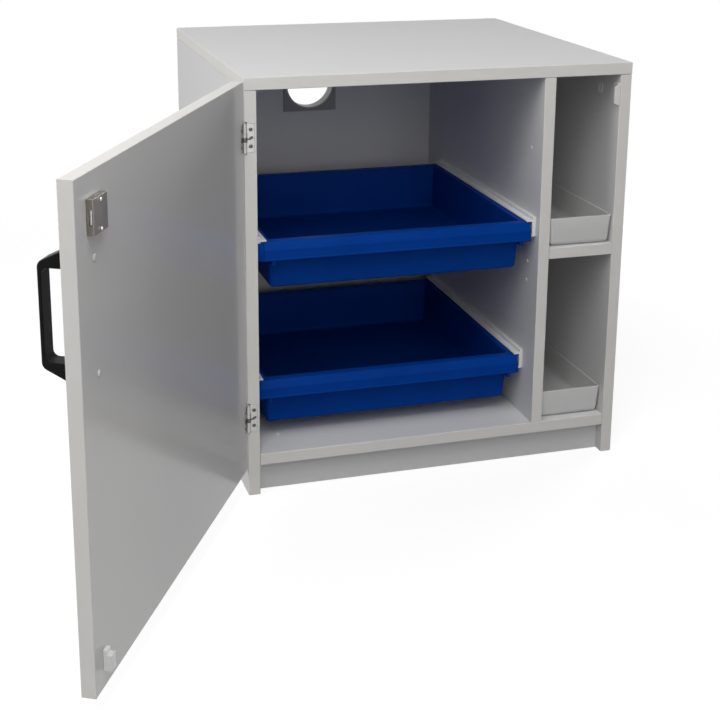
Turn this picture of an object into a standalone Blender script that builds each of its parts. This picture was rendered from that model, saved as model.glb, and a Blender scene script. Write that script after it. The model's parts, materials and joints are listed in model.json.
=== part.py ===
"""Acid storage cabinet: a faced board carcass with a hinged door, two sliding trays and two drip bins.

Metres, +Z up. The front faces -Y. The origin is the middle of the plinth board's underside.
The door stands open at rest, as it is shown, and the trays and bins are pushed home.
"""

from math import atan2, cos, degrees, pi, radians, sin, tan

import bmesh
import bpy
from mathutils import Matrix, Vector

# Carcass
WIDTH = 0.600
DEPTH = 0.550
HEIGHT = 0.635
BOARD = 0.018
SEAT_GAP = 0.0003
PLINTH_HEIGHT = 0.047
PLINTH_RECESS = 0.018
BACK_VOID = 0.024
RIGHT_BAY_WIDTH = 0.106
SHELF_RISE = 0.287
SHELF_PIN_RADIUS = 0.0025
SHELF_PIN_REACH = 0.008
SHELF_PIN_DEPTH = 0.009
SHELF_PIN_SETBACK = 0.060

# Cover caps and plugs
CAM_CAP_RADIUS = 0.0083
CAM_CAP_THICKNESS = 0.0012
CAM_STEM_RADIUS = 0.0062
CAM_STEM_LENGTH = 0.004
CAM_SETBACK = 0.066
SIDE_CAM_INSET = 0.031
BOTTOM_CAM_INSET = 0.043
PLUG_RADIUS = 0.0034
PLUG_THICKNESS = 0.0010
PLUG_STEM_RADIUS = 0.0024
PLUG_STEM_LENGTH = 0.005
PLUG_SETBACK = 0.041
PLUG_RISES = {"low": 0.225, "middle": 0.256, "high": 0.437}

# Door
DOOR_GAP = 0.002
DOOR_TOP_REVEAL = 0.005
DOOR_BOTTOM_DROP = 0.003
DOOR_SIDE_REVEAL = 0.001
REST_ANGLE = radians(118.5)

# Hinges
HINGE_INSET = 0.0807
LEAF_WIDTH = 0.0145
LEAF_HEIGHT = 0.042
LEAF_THICKNESS = 0.002
BARREL_RADIUS = 0.0036
BARREL_CLEARANCE = 0.0005
KNUCKLE_GAP = 0.0004
HINGE_PIN_RADIUS = 0.0016
HINGE_PIN_HEAD_RADIUS = 0.0026
HINGE_PIN_HEAD = 0.0012
HINGE_SCREW_EDGE = 0.0088
HINGE_SCREW_HEAD = 0.0011
LINK_LENGTH = 0.0038
LINK_WIDTH = 0.0034
LINK_TILT = radians(30.0)

# Small screws
SCREW_HEAD_RADIUS = 0.0029
SCREW_HEAD_HEIGHT = 0.0016
SCREW_SHANK_RADIUS = 0.0015
SCREW_LENGTH = 0.013

# Trays and runners
TRAY_SIDE_GAP = 0.0095
TRAY_BACK_GAP = 0.041
TRAY_HEIGHT = 0.0765
TRAY_WALL = 0.003
TRAY_RIM_WIDTH = 0.010
TRAY_FRONT_RIM = 0.018
TRAY_DRAFT = 0.005
TRAY_SKIRT = 0.020
TRAY_SLOPE_WIDTH = 0.006
TRAY_SLOPE_DROP = 0.012
TRAY_END_SLOPE = 0.0005
TRAY_CORNER = 0.003
TRAY_INNER_CORNER = 0.001
TRAY_CROWN_CORNER = 0.002
TRAY_BODY_CORNER = 0.006
TRAY_FLOOR_FILLET = 0.006
TRAY_APRON = 0.028
TRAY_APRON_PROUD = 0.0006
TRAY_RIB_WIDTH = 0.005
TRAY_RIB_DROP = 0.007
TRAY_RIB_INSET = 0.0135
UPPER_TRAY_RISE = 0.3265
LOWER_TRAY_RISE = 0.100
UPPER_TRAY_SETBACK = 0.007
LOWER_TRAY_SETBACK = 0.037
RUNNER_SETBACK = 0.005
RUNNER_SHORTFALL = 0.010
RUNNER_WEB = 0.0065
RUNNER_FIN = 0.0052
RUNNER_HEADROOM = 0.0008
RUNNER_FLANGE = 0.0025
RUNNER_TOP_REACH = 0.0155
RUNNER_LEDGE_REACH = 0.017

# Drip bins
BIN_SIDE_PLAY = 0.0012
BIN_BACK_GAP = 0.0535
BIN_HEIGHT = 0.045
BIN_WALL = 0.0022
BIN_DRAFT = 0.003
BIN_CORNER = 0.0035
BIN_FLOOR_FILLET = 0.006
BIN_CATCH_GAP = 0.0015
UPPER_BIN_SETBACK = 0.003

# Handle
HANDLE_REACH = 0.045
HANDLE_CENTRE_DROP = 0.157
HANDLE_FOOT_OUT = 0.0145
HANDLE_FOOT_IN = 0.01175
HANDLE_TAPER = 0.020
HANDLE_PROJECTION = 0.0413
HANDLE_BAR = 0.0042
HANDLE_WIDTH = 0.024
HANDLE_OUTER_ROUND = 0.009
HANDLE_INNER_ROUND = 0.007
HANDLE_SCREW_SPACING = 0.128
HANDLE_SCREW_HEAD_RADIUS = 0.0042

# Lock
LOCK_DROP = 0.046
LOCK_EDGE_GAP = 0.002
LOCK_WIDTH = 0.039
LOCK_HEIGHT = 0.039
LOCK_WALL = 0.0012
LOCK_SCREW_EDGE = 0.0038
BOLT_HEIGHT = 0.0162
BOLT_THICKNESS = 0.0030
BOLT_TAIL = 0.005
BOLT_OFFSET = 0.0036
BOLT_PLAY = 0.0004
BOLT_FRONT_RECESS = 0.0004
CYLINDER_LIP = 0.002
CYLINDER_FLANGE = 0.002
CYLINDER_WALL = 0.0032
PLUG_CORE_RADIUS = 0.0060
PLUG_DISC_MARGIN = 0.0006
PLUG_DISC = 0.0012
CRANK_RADIUS = 0.0060
CRANK_PIN_RADIUS = 0.0012
CRANK_PLAY = 0.0006
CRANK_SWING = radians(45.0)
KEYWAY_WIDTH = 0.0018
KEYWAY_HEIGHT = 0.0075
KEYWAY_DEPTH = 0.006
KEEPER_BELOW = 0.0065
KEEPER_ABOVE = 0.0115
KEEPER_DEPTH = 0.020
KEEPER_TOP_SLOPE = 0.0055
KEEPER_BOTTOM_SLOPE = 0.0035
KEEPER_PLAY = 0.0014
KEEPER_FLANGE = 0.002

# Door catch
CATCH_WIDTH = 0.011
CATCH_EDGE_INSET = 0.022
CATCH_CLEARANCE = 0.0008
CATCH_HEIGHT = 0.026
CATCH_BASE = 0.0055
CATCH_NOSE = 0.0112
CATCH_SHOULDER = 0.006
CATCH_NUB = 0.003

# Vent
VENT_FROM_LEFT = 0.229
VENT_DROP = 0.084
VENT_PLATE_MARGIN = 0.004
VENT_PLATE_THICKNESS = 0.003
VENT_RADIUS = 0.0440
VENT_WALL = 0.0025
VENT_TAIL = 0.005

ROUND_STEPS = 40
FINE_STEPS = 16
CAP_STEPS = 20
BARREL_STEPS = 20
ARC_STEPS = 4

# Planes and levels that follow from the sizes above
LEFT = -WIDTH / 2
RIGHT = WIDTH / 2
FRONT = -(PLINTH_RECESS + BOARD / 2)
BACK = FRONT + DEPTH
INNER_LEFT = LEFT + BOARD
INNER_RIGHT = RIGHT - BOARD
UNDER_TOP = HEIGHT - BOARD
FLOOR_LEVEL = PLINTH_HEIGHT + BOARD
BACK_FACE = BACK - BACK_VOID - BOARD
DIVIDER_RIGHT = INNER_RIGHT - RIGHT_BAY_WIDTH
DIVIDER_LEFT = DIVIDER_RIGHT - BOARD
SHELF_LEVEL = FLOOR_LEVEL + SHELF_RISE
BAY_CENTRE = (INNER_LEFT + DIVIDER_LEFT) / 2
INNER_DEPTH = BACK_FACE - FRONT
TRAY_WIDTH = DIVIDER_LEFT - INNER_LEFT - 2 * TRAY_SIDE_GAP
TRAY_DEPTH = INNER_DEPTH - LOWER_TRAY_SETBACK - TRAY_BACK_GAP
RUNNER_LENGTH = TRAY_DEPTH - RUNNER_SHORTFALL
LOWER_BIN_SETBACK = CATCH_NOSE - DOOR_GAP + BIN_CATCH_GAP
BIN_DEPTH = INNER_DEPTH - LOWER_BIN_SETBACK - BIN_BACK_GAP

AXIS_Y = FRONT - DOOR_GAP / 2
DOOR_BOTTOM = PLINTH_HEIGHT - DOOR_BOTTOM_DROP
DOOR_TOP = HEIGHT - DOOR_TOP_REVEAL
DOOR_INNER = -DOOR_GAP / 2
DOOR_OUTER = DOOR_INNER - BOARD
DOOR_FREE_EDGE = WIDTH - DOOR_SIDE_REVEAL
HINGE_LEVELS = {"upper": DOOR_TOP - HINGE_INSET, "lower": DOOR_BOTTOM + HINGE_INSET}
LEAF_START = BARREL_RADIUS + 2 * BARREL_CLEARANCE
LEAF_MIDDLE = (LEAF_START + LEAF_WIDTH) / 2
LEAF_DEPTH = DOOR_GAP / 2 + SEAT_GAP + LEAF_THICKNESS / 2
BOLT_TRAVEL = 2 * CRANK_RADIUS * sin(CRANK_SWING)
KEEPER_ROOM = BOLT_TRAVEL - BOLT_FRONT_RECESS - LOCK_EDGE_GAP + KEEPER_PLAY
KEEPER_REACH = KEEPER_ROOM + KEEPER_FLANGE
LOCK_THICKNESS = BOLT_OFFSET + BOLT_THICKNESS + BOLT_PLAY + LOCK_WALL
LOCK_LEVEL = DOOR_TOP - LOCK_DROP
LOCK_EDGE = WIDTH - BOARD - KEEPER_REACH - LOCK_EDGE_GAP
LOCK_CENTRE = LOCK_EDGE - LOCK_WIDTH / 2
CYLINDER_RADIUS = PLUG_CORE_RADIUS + SEAT_GAP + CYLINDER_WALL
HANDLE_LEVEL = DOOR_TOP - HANDLE_CENTRE_DROP
VENT_X = LEFT + VENT_FROM_LEFT
VENT_Z = UNDER_TOP - VENT_DROP
VENT_PLATE = 2 * (VENT_RADIUS + VENT_PLATE_MARGIN)

FINISHES = {
    "faced_board": ((0.74, 0.74, 0.745), 0.42, 0.0),
    "white_plastic": ((0.86, 0.86, 0.86), 0.38, 0.0),
    "blue_plastic": ((0.004, 0.045, 0.30), 0.40, 0.0),
    "grey_plastic": ((0.56, 0.56, 0.56), 0.45, 0.0),
    "black_plastic": ((0.012, 0.012, 0.013), 0.45, 0.0),
    "dark_plastic": ((0.28, 0.278, 0.283), 0.55, 0.0),
    "bright_steel": ((0.66, 0.66, 0.65), 0.30, 1.0),
    "dark_steel": ((0.10, 0.10, 0.10), 0.40, 1.0),
    "nickel": ((0.50, 0.48, 0.43), 0.32, 1.0),
}


def clear_scene():
    """Remove what the file holds already."""
    for item in list(bpy.data.objects):
        bpy.data.objects.remove(item, do_unlink=True)


def new_collection(name):
    group = bpy.data.collections.new(name)
    bpy.context.scene.collection.children.link(group)
    return group


clear_scene()
PARTS = new_collection("acid_storage_cabinet")
CUTTERS = new_collection("cutters")


def add_pivot(name, location, turn=0.0):
    """An empty that carries the pieces of one moving body."""
    pivot = bpy.data.objects.new(name, None)
    pivot.empty_display_size = BOARD
    pivot.location = location
    pivot.rotation_euler = (0.0, 0.0, turn)
    CUTTERS.objects.link(pivot)
    return pivot


def add_material(name, finish):
    colour, roughness, metallic = FINISHES[finish]
    material = bpy.data.materials.new(name)
    material.use_nodes = True
    shader = material.node_tree.nodes["Principled BSDF"]
    shader.inputs["Base Color"].default_value = (*colour, 1.0)
    shader.inputs["Roughness"].default_value = roughness
    shader.inputs["Metallic"].default_value = metallic
    return material


def finish_mesh(bm, name):
    """Turn a bmesh into a mesh whose faces point out."""
    bmesh.ops.recalc_face_normals(bm, faces=bm.faces)
    mesh = bpy.data.meshes.new(name)
    bm.to_mesh(mesh)
    bm.free()
    return mesh


def add_part(name, mesh, finish, parent=None, location=(0.0, 0.0, 0.0)):
    part = bpy.data.objects.new(name, mesh)
    part.location = location
    part.parent = parent
    mesh.materials.clear()
    mesh.materials.append(add_material(name, finish))
    mesh.shade_smooth()
    mesh.set_sharp_from_angle(angle=radians(35.0))
    PARTS.objects.link(part)
    return part


def combine(part, mesh, operation):
    """Cut a shape out of a part, or join one to it, in the part's own frame."""
    cutter = bpy.data.objects.new(f"{part.name}_{operation.lower()}", mesh)
    cutter.parent = part.parent
    cutter.location = part.location
    cutter.rotation_euler = part.rotation_euler
    cutter.hide_render = True
    cutter.display_type = "WIRE"
    CUTTERS.objects.link(cutter)
    modifier = part.modifiers.new(cutter.name, "BOOLEAN")
    modifier.operation = operation
    modifier.solver = "EXACT"
    modifier.object = cutter


def cut(part, mesh):
    combine(part, mesh, "DIFFERENCE")


def join(part, mesh):
    combine(part, mesh, "UNION")


def add_box(bm, low, high):
    """Add a box between two corners to a bmesh."""
    low, high = Vector(low), Vector(high)
    made = bmesh.ops.create_cube(bm, size=1.0)["verts"]
    bmesh.ops.scale(bm, vec=high - low, verts=made)
    bmesh.ops.translate(bm, vec=(low + high) / 2, verts=made)


def boxes(name, *corners):
    bm = bmesh.new()
    for low, high in corners:
        add_box(bm, low, high)
    return finish_mesh(bm, name)


def along(point, direction):
    """The placing that puts an axis on a line through a point."""
    turn = Vector(direction).to_track_quat("Z", "Y")
    return Matrix.Translation(point) @ turn.to_matrix().to_4x4()


def rods(name, radius, low, high, placings, steps=FINE_STEPS):
    """Plain round bars between two heights on each placing's axis."""
    bm = bmesh.new()
    for placing in placings:
        made = bmesh.ops.create_cone(
            bm, cap_ends=True, segments=steps, radius1=radius, radius2=radius, depth=high - low
        )["verts"]
        middle = Matrix.Translation((0.0, 0.0, (low + high) / 2))
        bmesh.ops.transform(bm, matrix=placing @ middle, verts=made)
    return finish_mesh(bm, name)


def turned_part(name, profile, placing, finish, parent=None, steps=FINE_STEPS):
    """A piece turned about its own axis, from (radius, height) points that run from top to bottom."""
    bm = bmesh.new()
    verts = [bm.verts.new((radius, 0.0, height)) for radius, height in profile]
    for pair in zip(verts, verts[1:]):
        bm.edges.new(pair)
    mesh = bpy.data.meshes.new(name)
    bm.to_mesh(mesh)
    bm.free()
    part = add_part(name, mesh, finish, parent, placing.translation)
    part.rotation_euler = placing.to_euler()
    screw = part.modifiers.new("turned", "SCREW")
    screw.angle = 2 * pi
    screw.steps = steps
    screw.render_steps = steps
    screw.use_merge_vertices = True
    screw.merge_threshold = 1e-5
    return part


def headed_profile(head_radius, head_height, stem_radius, stem_length):
    """A screw, cap or plug: a head with an eased edge above the start of a stem."""
    ease = head_height * 0.4
    return [
        (0.0, head_height),
        (head_radius - ease, head_height),
        (head_radius, head_height - ease),
        (head_radius, 0.0),
        (stem_radius, 0.0),
        (stem_radius, -stem_length),
        (0.0, -stem_length),
    ]


def arc(centre, radius, start, end, steps=ARC_STEPS):
    """Points on an arc between two angles in degrees."""
    first, last = radians(start), radians(end)
    angles = [first + (last - first) * step / steps for step in range(steps + 1)]
    return [(centre[0] + radius * cos(a), centre[1] + radius * sin(a)) for a in angles]


def prism(name, outline, width, placing):
    """A flat outline, given as (x, y) points, with a thickness along its own z."""
    curve = bpy.data.curves.new(name, "CURVE")
    curve.dimensions = "2D"
    curve.fill_mode = "BOTH"
    curve.extrude = width / 2
    spline = curve.splines.new("POLY")
    spline.points.add(len(outline) - 1)
    for point, (x, y) in zip(spline.points, outline):
        point.co = (x, y, 0.0, 1.0)
    spline.use_cyclic_u = True
    holder = bpy.data.objects.new(name, curve)
    CUTTERS.objects.link(holder)
    bpy.context.view_layer.update()
    solid = holder.evaluated_get(bpy.context.evaluated_depsgraph_get())
    mesh = bpy.data.meshes.new_from_object(solid)
    bpy.data.objects.remove(holder, do_unlink=True)
    bpy.data.curves.remove(curve)
    bm = bmesh.new()
    bm.from_mesh(mesh)
    bpy.data.meshes.remove(mesh)
    bmesh.ops.remove_doubles(bm, verts=bm.verts, dist=1e-6)
    bmesh.ops.transform(bm, matrix=placing, verts=bm.verts)
    return finish_mesh(bm, name)


def frame_matrix(origin, x_axis, y_axis):
    """The placing whose x and y axes are the two given directions."""
    x_axis, y_axis = Vector(x_axis), Vector(y_axis)
    turn = Matrix((x_axis, y_axis, x_axis.cross(y_axis))).transposed()
    return Matrix.Translation(origin) @ turn.to_4x4()


def rounded_ring(half_x, half_y, radius):
    """Points round a rectangle with rounded corners, about its centre."""
    corners = ((1, 1, 0), (-1, 1, 90), (-1, -1, 180), (1, -1, 270))
    ring = []
    for sign_x, sign_y, start in corners:
        centre = (sign_x * (half_x - radius), sign_y * (half_y - radius))
        ring += arc(centre, radius, start, start + 90)
    return ring


def ring_loft(name, levels):
    """A closed skin over rounded rectangles, each given as (half_x, half_y, radius, z)."""
    bm = bmesh.new()
    rings = []
    for half_x, half_y, radius, z in levels:
        rings.append([bm.verts.new((x, y, z)) for x, y in rounded_ring(half_x, half_y, radius)])
    for ring, other in zip(rings, rings[1:]):
        for index in range(len(ring)):
            after = (index + 1) % len(ring)
            bm.faces.new((ring[index], ring[after], other[after], other[index]))
    bm.faces.new(rings[0])
    bm.faces.new(rings[-1])
    return finish_mesh(bm, name)


def board(name, low, high):
    """One faced board between two corners."""
    return add_part(name, boxes(name, (low, high)), "faced_board")


def make_carcass():
    """The eight boards, with a hairline between those that meet."""
    made = {}
    made["top"] = board("top_panel", (LEFT, FRONT, UNDER_TOP), (RIGHT, BACK, HEIGHT))
    side_top = UNDER_TOP - SEAT_GAP
    made["left"] = board("left_side_panel", (LEFT, FRONT, 0), (INNER_LEFT, BACK, side_top))
    made["right"] = board("right_side_panel", (INNER_RIGHT, FRONT, 0), (RIGHT, BACK, side_top))
    low_x, high_x = INNER_LEFT + SEAT_GAP, INNER_RIGHT - SEAT_GAP
    behind = BACK_FACE - SEAT_GAP
    made["bottom"] = board("bottom_panel", (low_x, FRONT, PLINTH_HEIGHT), (high_x, behind, FLOOR_LEVEL))
    made["back"] = board(
        "back_panel", (low_x, BACK_FACE, PLINTH_HEIGHT), (high_x, BACK_FACE + BOARD, side_top)
    )
    made["divider"] = board(
        "divider_panel", (DIVIDER_LEFT, FRONT, FLOOR_LEVEL + SEAT_GAP), (DIVIDER_RIGHT, behind, side_top)
    )
    made["shelf"] = board(
        "bay_shelf",
        (DIVIDER_RIGHT + SEAT_GAP, FRONT, SHELF_LEVEL - BOARD),
        (INNER_RIGHT - SEAT_GAP, behind, SHELF_LEVEL),
    )
    plinth_front = FRONT + PLINTH_RECESS
    board(
        "plinth_board", (low_x, plinth_front, 0), (high_x, plinth_front + BOARD, PLINTH_HEIGHT - SEAT_GAP)
    )
    return made


def make_shelf_pins(panels):
    """Four pins under the shelf, two in each board beside the right bay."""
    level = SHELF_LEVEL - BOARD - SEAT_GAP - SHELF_PIN_RADIUS
    ends = {"front": FRONT + SHELF_PIN_SETBACK, "back": BACK_FACE - SHELF_PIN_SETBACK}
    sides = {"divider": (DIVIDER_RIGHT, 1), "right": (INNER_RIGHT, -1)}
    hole = SHELF_PIN_RADIUS + SEAT_GAP
    for side, (face, inward) in sides.items():
        for end, y in ends.items():
            placing = along((face, y, level), (inward, 0, 0))
            node = f"shelf_pin_{side}_{end}"
            pin = rods(node, SHELF_PIN_RADIUS, -SHELF_PIN_DEPTH, SHELF_PIN_REACH, [placing])
            add_part(node, pin, "bright_steel")
            low = -SHELF_PIN_DEPTH - SEAT_GAP
            cut(panels[side], rods("pin_hole", hole, low, SHELF_PIN_REACH, [placing]))


def fit_cap(node, panel, placing, head, stem_radius, stem_length):
    """A headed plug pushed into a hole of its own in a board."""
    head_radius, head_height = head
    profile = headed_profile(head_radius, head_height, stem_radius, stem_length)
    raised = placing @ Matrix.Translation((0.0, 0.0, SEAT_GAP))
    turned_part(node, profile, raised, "white_plastic", steps=CAP_STEPS)
    low = -stem_length - SEAT_GAP
    cut(panel, rods("cap_hole", stem_radius + SEAT_GAP, low, head_height, [placing], CAP_STEPS))


def make_cam_caps(panels):
    """Round covers over the corner fittings of the side boards and of the bottom board."""
    head = (CAM_CAP_RADIUS, CAM_CAP_THICKNESS)
    level = UNDER_TOP - SIDE_CAM_INSET
    ends = {"front": FRONT + CAM_SETBACK, "back": BACK_FACE - CAM_SETBACK}
    for end, y in ends.items():
        spots = {
            "left": along((INNER_LEFT, y, level), (1, 0, 0)),
            "right": along((INNER_RIGHT, y, level), (-1, 0, 0)),
            "bottom": along((INNER_LEFT + BOTTOM_CAM_INSET, y, FLOOR_LEVEL), (0, 0, 1)),
        }
        for side in ("left", "right"):
            node = f"cam_cap_{side}_{end}"
            fit_cap(node, panels[side], spots[side], head, CAM_STEM_RADIUS, CAM_STEM_LENGTH)
        node = f"cam_cap_bottom_{end}"
        small = (PLUG_RADIUS, PLUG_THICKNESS)
        fit_cap(node, panels["bottom"], spots["bottom"], small, PLUG_STEM_RADIUS, PLUG_STEM_LENGTH)


def make_hole_plugs(panels):
    """Small plugs in the line of holes up the divider."""
    head = (PLUG_RADIUS, PLUG_THICKNESS)
    for name, rise in PLUG_RISES.items():
        placing = along((DIVIDER_LEFT, FRONT + PLUG_SETBACK, FLOOR_LEVEL + rise), (-1, 0, 0))
        fit_cap(f"hole_plug_{name}", panels["divider"], placing, head, PLUG_STEM_RADIUS, PLUG_STEM_LENGTH)


def runner_outline():
    """A runner's section: distance from its board, and height above the tray's rim."""
    ledge = -TRAY_SKIRT - SEAT_GAP
    roof = RUNNER_HEADROOM + RUNNER_FLANGE
    return [
        (SEAT_GAP, ledge - RUNNER_FLANGE),
        (RUNNER_LEDGE_REACH, ledge - RUNNER_FLANGE),
        (RUNNER_LEDGE_REACH, ledge),
        (RUNNER_WEB, ledge),
        (RUNNER_WEB, RUNNER_HEADROOM),
        (RUNNER_TOP_REACH, RUNNER_HEADROOM),
        (RUNNER_TOP_REACH, roof),
        (RUNNER_WEB, roof),
        (RUNNER_WEB, roof + RUNNER_FIN),
        (SEAT_GAP, roof + RUNNER_FIN),
    ]


def tray_level(name):
    rise = UPPER_TRAY_RISE if name == "upper" else LOWER_TRAY_RISE
    return FLOOR_LEVEL + rise


def tray_front(name):
    setback = UPPER_TRAY_SETBACK if name == "upper" else LOWER_TRAY_SETBACK
    return FRONT + setback


def make_runners():
    """A pair of runners for each tray, on the left board and on the divider."""
    sides = {"left": (INNER_LEFT, 1), "right": (DIVIDER_LEFT, -1)}
    for name in ("upper", "lower"):
        middle_y = tray_front(name) + RUNNER_SETBACK + RUNNER_LENGTH / 2
        for side, (face, inward) in sides.items():
            placing = frame_matrix((face, middle_y, tray_level(name)), (inward, 0, 0), (0, 0, 1))
            node = f"{name}_{side}_runner"
            add_part(node, prism(node, runner_outline(), RUNNER_LENGTH, placing), "white_plastic")


def screw_hole(placing):
    """A clearance hole for a small screw's shank."""
    radius = SCREW_SHANK_RADIUS + SEAT_GAP
    return rods("screw_hole", radius, -SCREW_LENGTH - SEAT_GAP, SCREW_HEAD_HEIGHT, [placing])


def fit_screw(node, placing, finish, parent, head_height=SCREW_HEAD_HEIGHT):
    """A small screw whose head stands on the placing's start."""
    profile = headed_profile(SCREW_HEAD_RADIUS, head_height, SCREW_SHANK_RADIUS, SCREW_LENGTH)
    turned_part(node, profile, placing @ Matrix.Translation((0.0, 0.0, SEAT_GAP)), finish, parent)


def leaf_outline(level, spans):
    """A leaf's face, from the axis outwards, with a web to each of its knuckles."""
    low, high = level - LEAF_HEIGHT / 2, level + LEAF_HEIGHT / 2
    outline = [(LEAF_WIDTH, low), (LEAF_WIDTH, high), (LEAF_START, high)]
    for bottom, top in sorted(spans, reverse=True):
        outline += [(LEAF_START, top), (0.0, top), (0.0, bottom), (LEAF_START, bottom)]
    outline.append((LEAF_START, low))
    around = zip(outline[-1:] + outline[:-1], outline, outline[1:] + outline[:1])
    return [point for before, point, after in around if not before[1] == point[1] == after[1]]


def make_leaf(node, level, side, spans, parent):
    """A hinge leaf bored for the pin and for its sunk screws. side is 1 for the frame and -1 for the door."""
    placing = frame_matrix((0.0, side * LEAF_DEPTH, 0.0), (1, 0, 0), (0, 0, 1))
    plate = prism(node, leaf_outline(level, spans), LEAF_THICKNESS, placing)
    leaf = add_part(node, plate, "bright_steel", parent)
    for low, high in spans:
        knuckle = (low - KNUCKLE_GAP / 4, high + KNUCKLE_GAP / 4)
        join(leaf, rods("knuckle", BARREL_RADIUS, *knuckle, [Matrix()], BARREL_STEPS))
    bore = HINGE_PIN_RADIUS + SEAT_GAP
    cut(leaf, rods("pin_bore", bore, level - LEAF_HEIGHT, level + LEAF_HEIGHT, [Matrix()]))
    for placing in hinge_screw_spots(level, side).values():
        cut(leaf, screw_hole(placing))
        cut(leaf, rods("head_hole", SCREW_HEAD_RADIUS + SEAT_GAP, 0.0, LEAF_THICKNESS, [placing]))
    return leaf


def knuckle_spans(level):
    """Heights of the frame's two knuckles and of the door's one between them."""
    third = LEAF_HEIGHT / 3
    low, high = level - LEAF_HEIGHT / 2, level + LEAF_HEIGHT / 2
    frame = [(low, low + third - KNUCKLE_GAP), (high - third + KNUCKLE_GAP, high)]
    return frame, [(low + third, high - third)]


def hinge_screw_spots(level, side):
    """Where a leaf's two screw heads bear, half way into the leaf."""
    reach = LEAF_HEIGHT / 2 - HINGE_SCREW_EDGE
    heights = {"low": level - reach, "high": level + reach}
    return {name: along((LEAF_MIDDLE, side * LEAF_DEPTH, z), (0, -side, 0)) for name, z in heights.items()}


def link_mesh(level, growth):
    """The slanted link, or with growth the slot that it lies in."""
    half = LINK_WIDTH / 2 + growth
    reach = LINK_LENGTH / 2
    outline = arc((reach, 0.0), half, -90, 90) + arc((-reach, 0.0), half, 90, 270)
    depth = LEAF_THICKNESS + 4 * growth
    tilt = (cos(LINK_TILT), 0.0, sin(LINK_TILT))
    rise = (-sin(LINK_TILT), 0.0, cos(LINK_TILT))
    return prism("hinge_link", outline, depth, frame_matrix((LEAF_MIDDLE, LEAF_DEPTH, level), tilt, rise))


def cut_mortise(target, level, side, offset):
    """Let a leaf, the barrel and the leaf's screws into the edge of a board."""
    skin = side * (DOOR_GAP / 2 - SEAT_GAP)
    floor = side * (LEAF_DEPTH + LEAF_THICKNESS / 2 + SEAT_GAP)
    near, far = sorted((skin, floor))
    half = LEAF_HEIGHT / 2 + SEAT_GAP
    bed_low = (-BOARD, near, level - half)
    bed_high = (LEAF_WIDTH + SEAT_GAP, far, level + half)
    reach = LEAF_HEIGHT / 2 + 2 * HINGE_PIN_HEAD + SEAT_GAP
    notch = BARREL_RADIUS + BARREL_CLEARANCE
    cutters = [
        boxes("leaf_bed", (bed_low, bed_high)),
        rods("barrel_notch", notch, level - reach, level + reach, [Matrix()], BARREL_STEPS),
    ]
    cutters += [screw_hole(placing) for placing in hinge_screw_spots(level, side).values()]
    for mesh in cutters:
        mesh.transform(Matrix.Translation(offset))
        cut(target, mesh)


def make_hinge(name, left_panel, door, frame_pivot):
    """One hinge: two leaves, the pin through their knuckles and the dark link let into the frame leaf."""
    level = HINGE_LEVELS[name]
    frame_spans, door_spans = knuckle_spans(level)
    frame_leaf = make_leaf(f"{name}_hinge_frame_leaf", level, 1, frame_spans, frame_pivot)
    cut(frame_leaf, link_mesh(level, SEAT_GAP))
    make_leaf(f"{name}_hinge_door_leaf", level, -1, door_spans, door.parent)
    cut_mortise(left_panel, level, 1, frame_pivot.location)
    cut_mortise(door, level, -1, (0.0, 0.0, 0.0))
    node = f"{name}_hinge_pin"
    stem = LEAF_HEIGHT + HINGE_PIN_HEAD
    profile = headed_profile(HINGE_PIN_HEAD_RADIUS, HINGE_PIN_HEAD, HINGE_PIN_RADIUS, stem)
    placing = along((0, 0, level + LEAF_HEIGHT / 2 + SEAT_GAP), (0, 0, 1))
    turned_part(node, profile, placing, "bright_steel", frame_pivot)
    add_part(f"{name}_hinge_link", link_mesh(level, 0.0), "dark_steel", frame_pivot)
    for owner, side, parent in (("frame", 1, frame_pivot), ("door", -1, door.parent)):
        for place, spot in hinge_screw_spots(level, side).items():
            node = f"{name}_hinge_{owner}_screw_{place}"
            fit_screw(node, spot, "dark_steel", parent, HINGE_SCREW_HEAD)


def make_door(door_pivot):
    """The door board, in the frame of its hinge axis with the door closed."""
    low = (DOOR_SIDE_REVEAL, DOOR_OUTER, DOOR_BOTTOM)
    high = (DOOR_FREE_EDGE, DOOR_INNER, DOOR_TOP)
    return add_part("door_panel", boxes("door_panel", (low, high)), "faced_board", door_pivot)


def handle_outline():
    """The bow's side view: distance out from the door, and height about its middle."""
    base = HANDLE_SCREW_SPACING / 2 + HANDLE_FOOT_OUT
    bar = base - HANDLE_TAPER
    grip = HANDLE_SCREW_SPACING / 2 - HANDLE_FOOT_IN
    out = HANDLE_PROJECTION
    inside = HANDLE_PROJECTION - HANDLE_BAR
    lean = atan2(base - bar, out)
    # The round at the outer corner touches the sloping leg and the upright bar.
    centre_x = out - HANDLE_OUTER_ROUND
    centre_y = base - (HANDLE_OUTER_ROUND + centre_x * sin(lean)) / cos(lean)
    upper = arc((centre_x, centre_y), HANDLE_OUTER_ROUND, 0, 90 - degrees(lean))
    lower = [(x, -y) for x, y in reversed(upper)]
    round_centre = (inside - HANDLE_INNER_ROUND, grip - HANDLE_INNER_ROUND)
    inner_upper = arc(round_centre, HANDLE_INNER_ROUND, 90, 0)
    inner_lower = [(x, -y) for x, y in reversed(inner_upper)]
    start = SEAT_GAP
    outline = [(start, -base)] + lower + upper + [(start, base), (start, grip)]
    return outline + inner_upper + inner_lower + [(start, -grip)]


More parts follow.
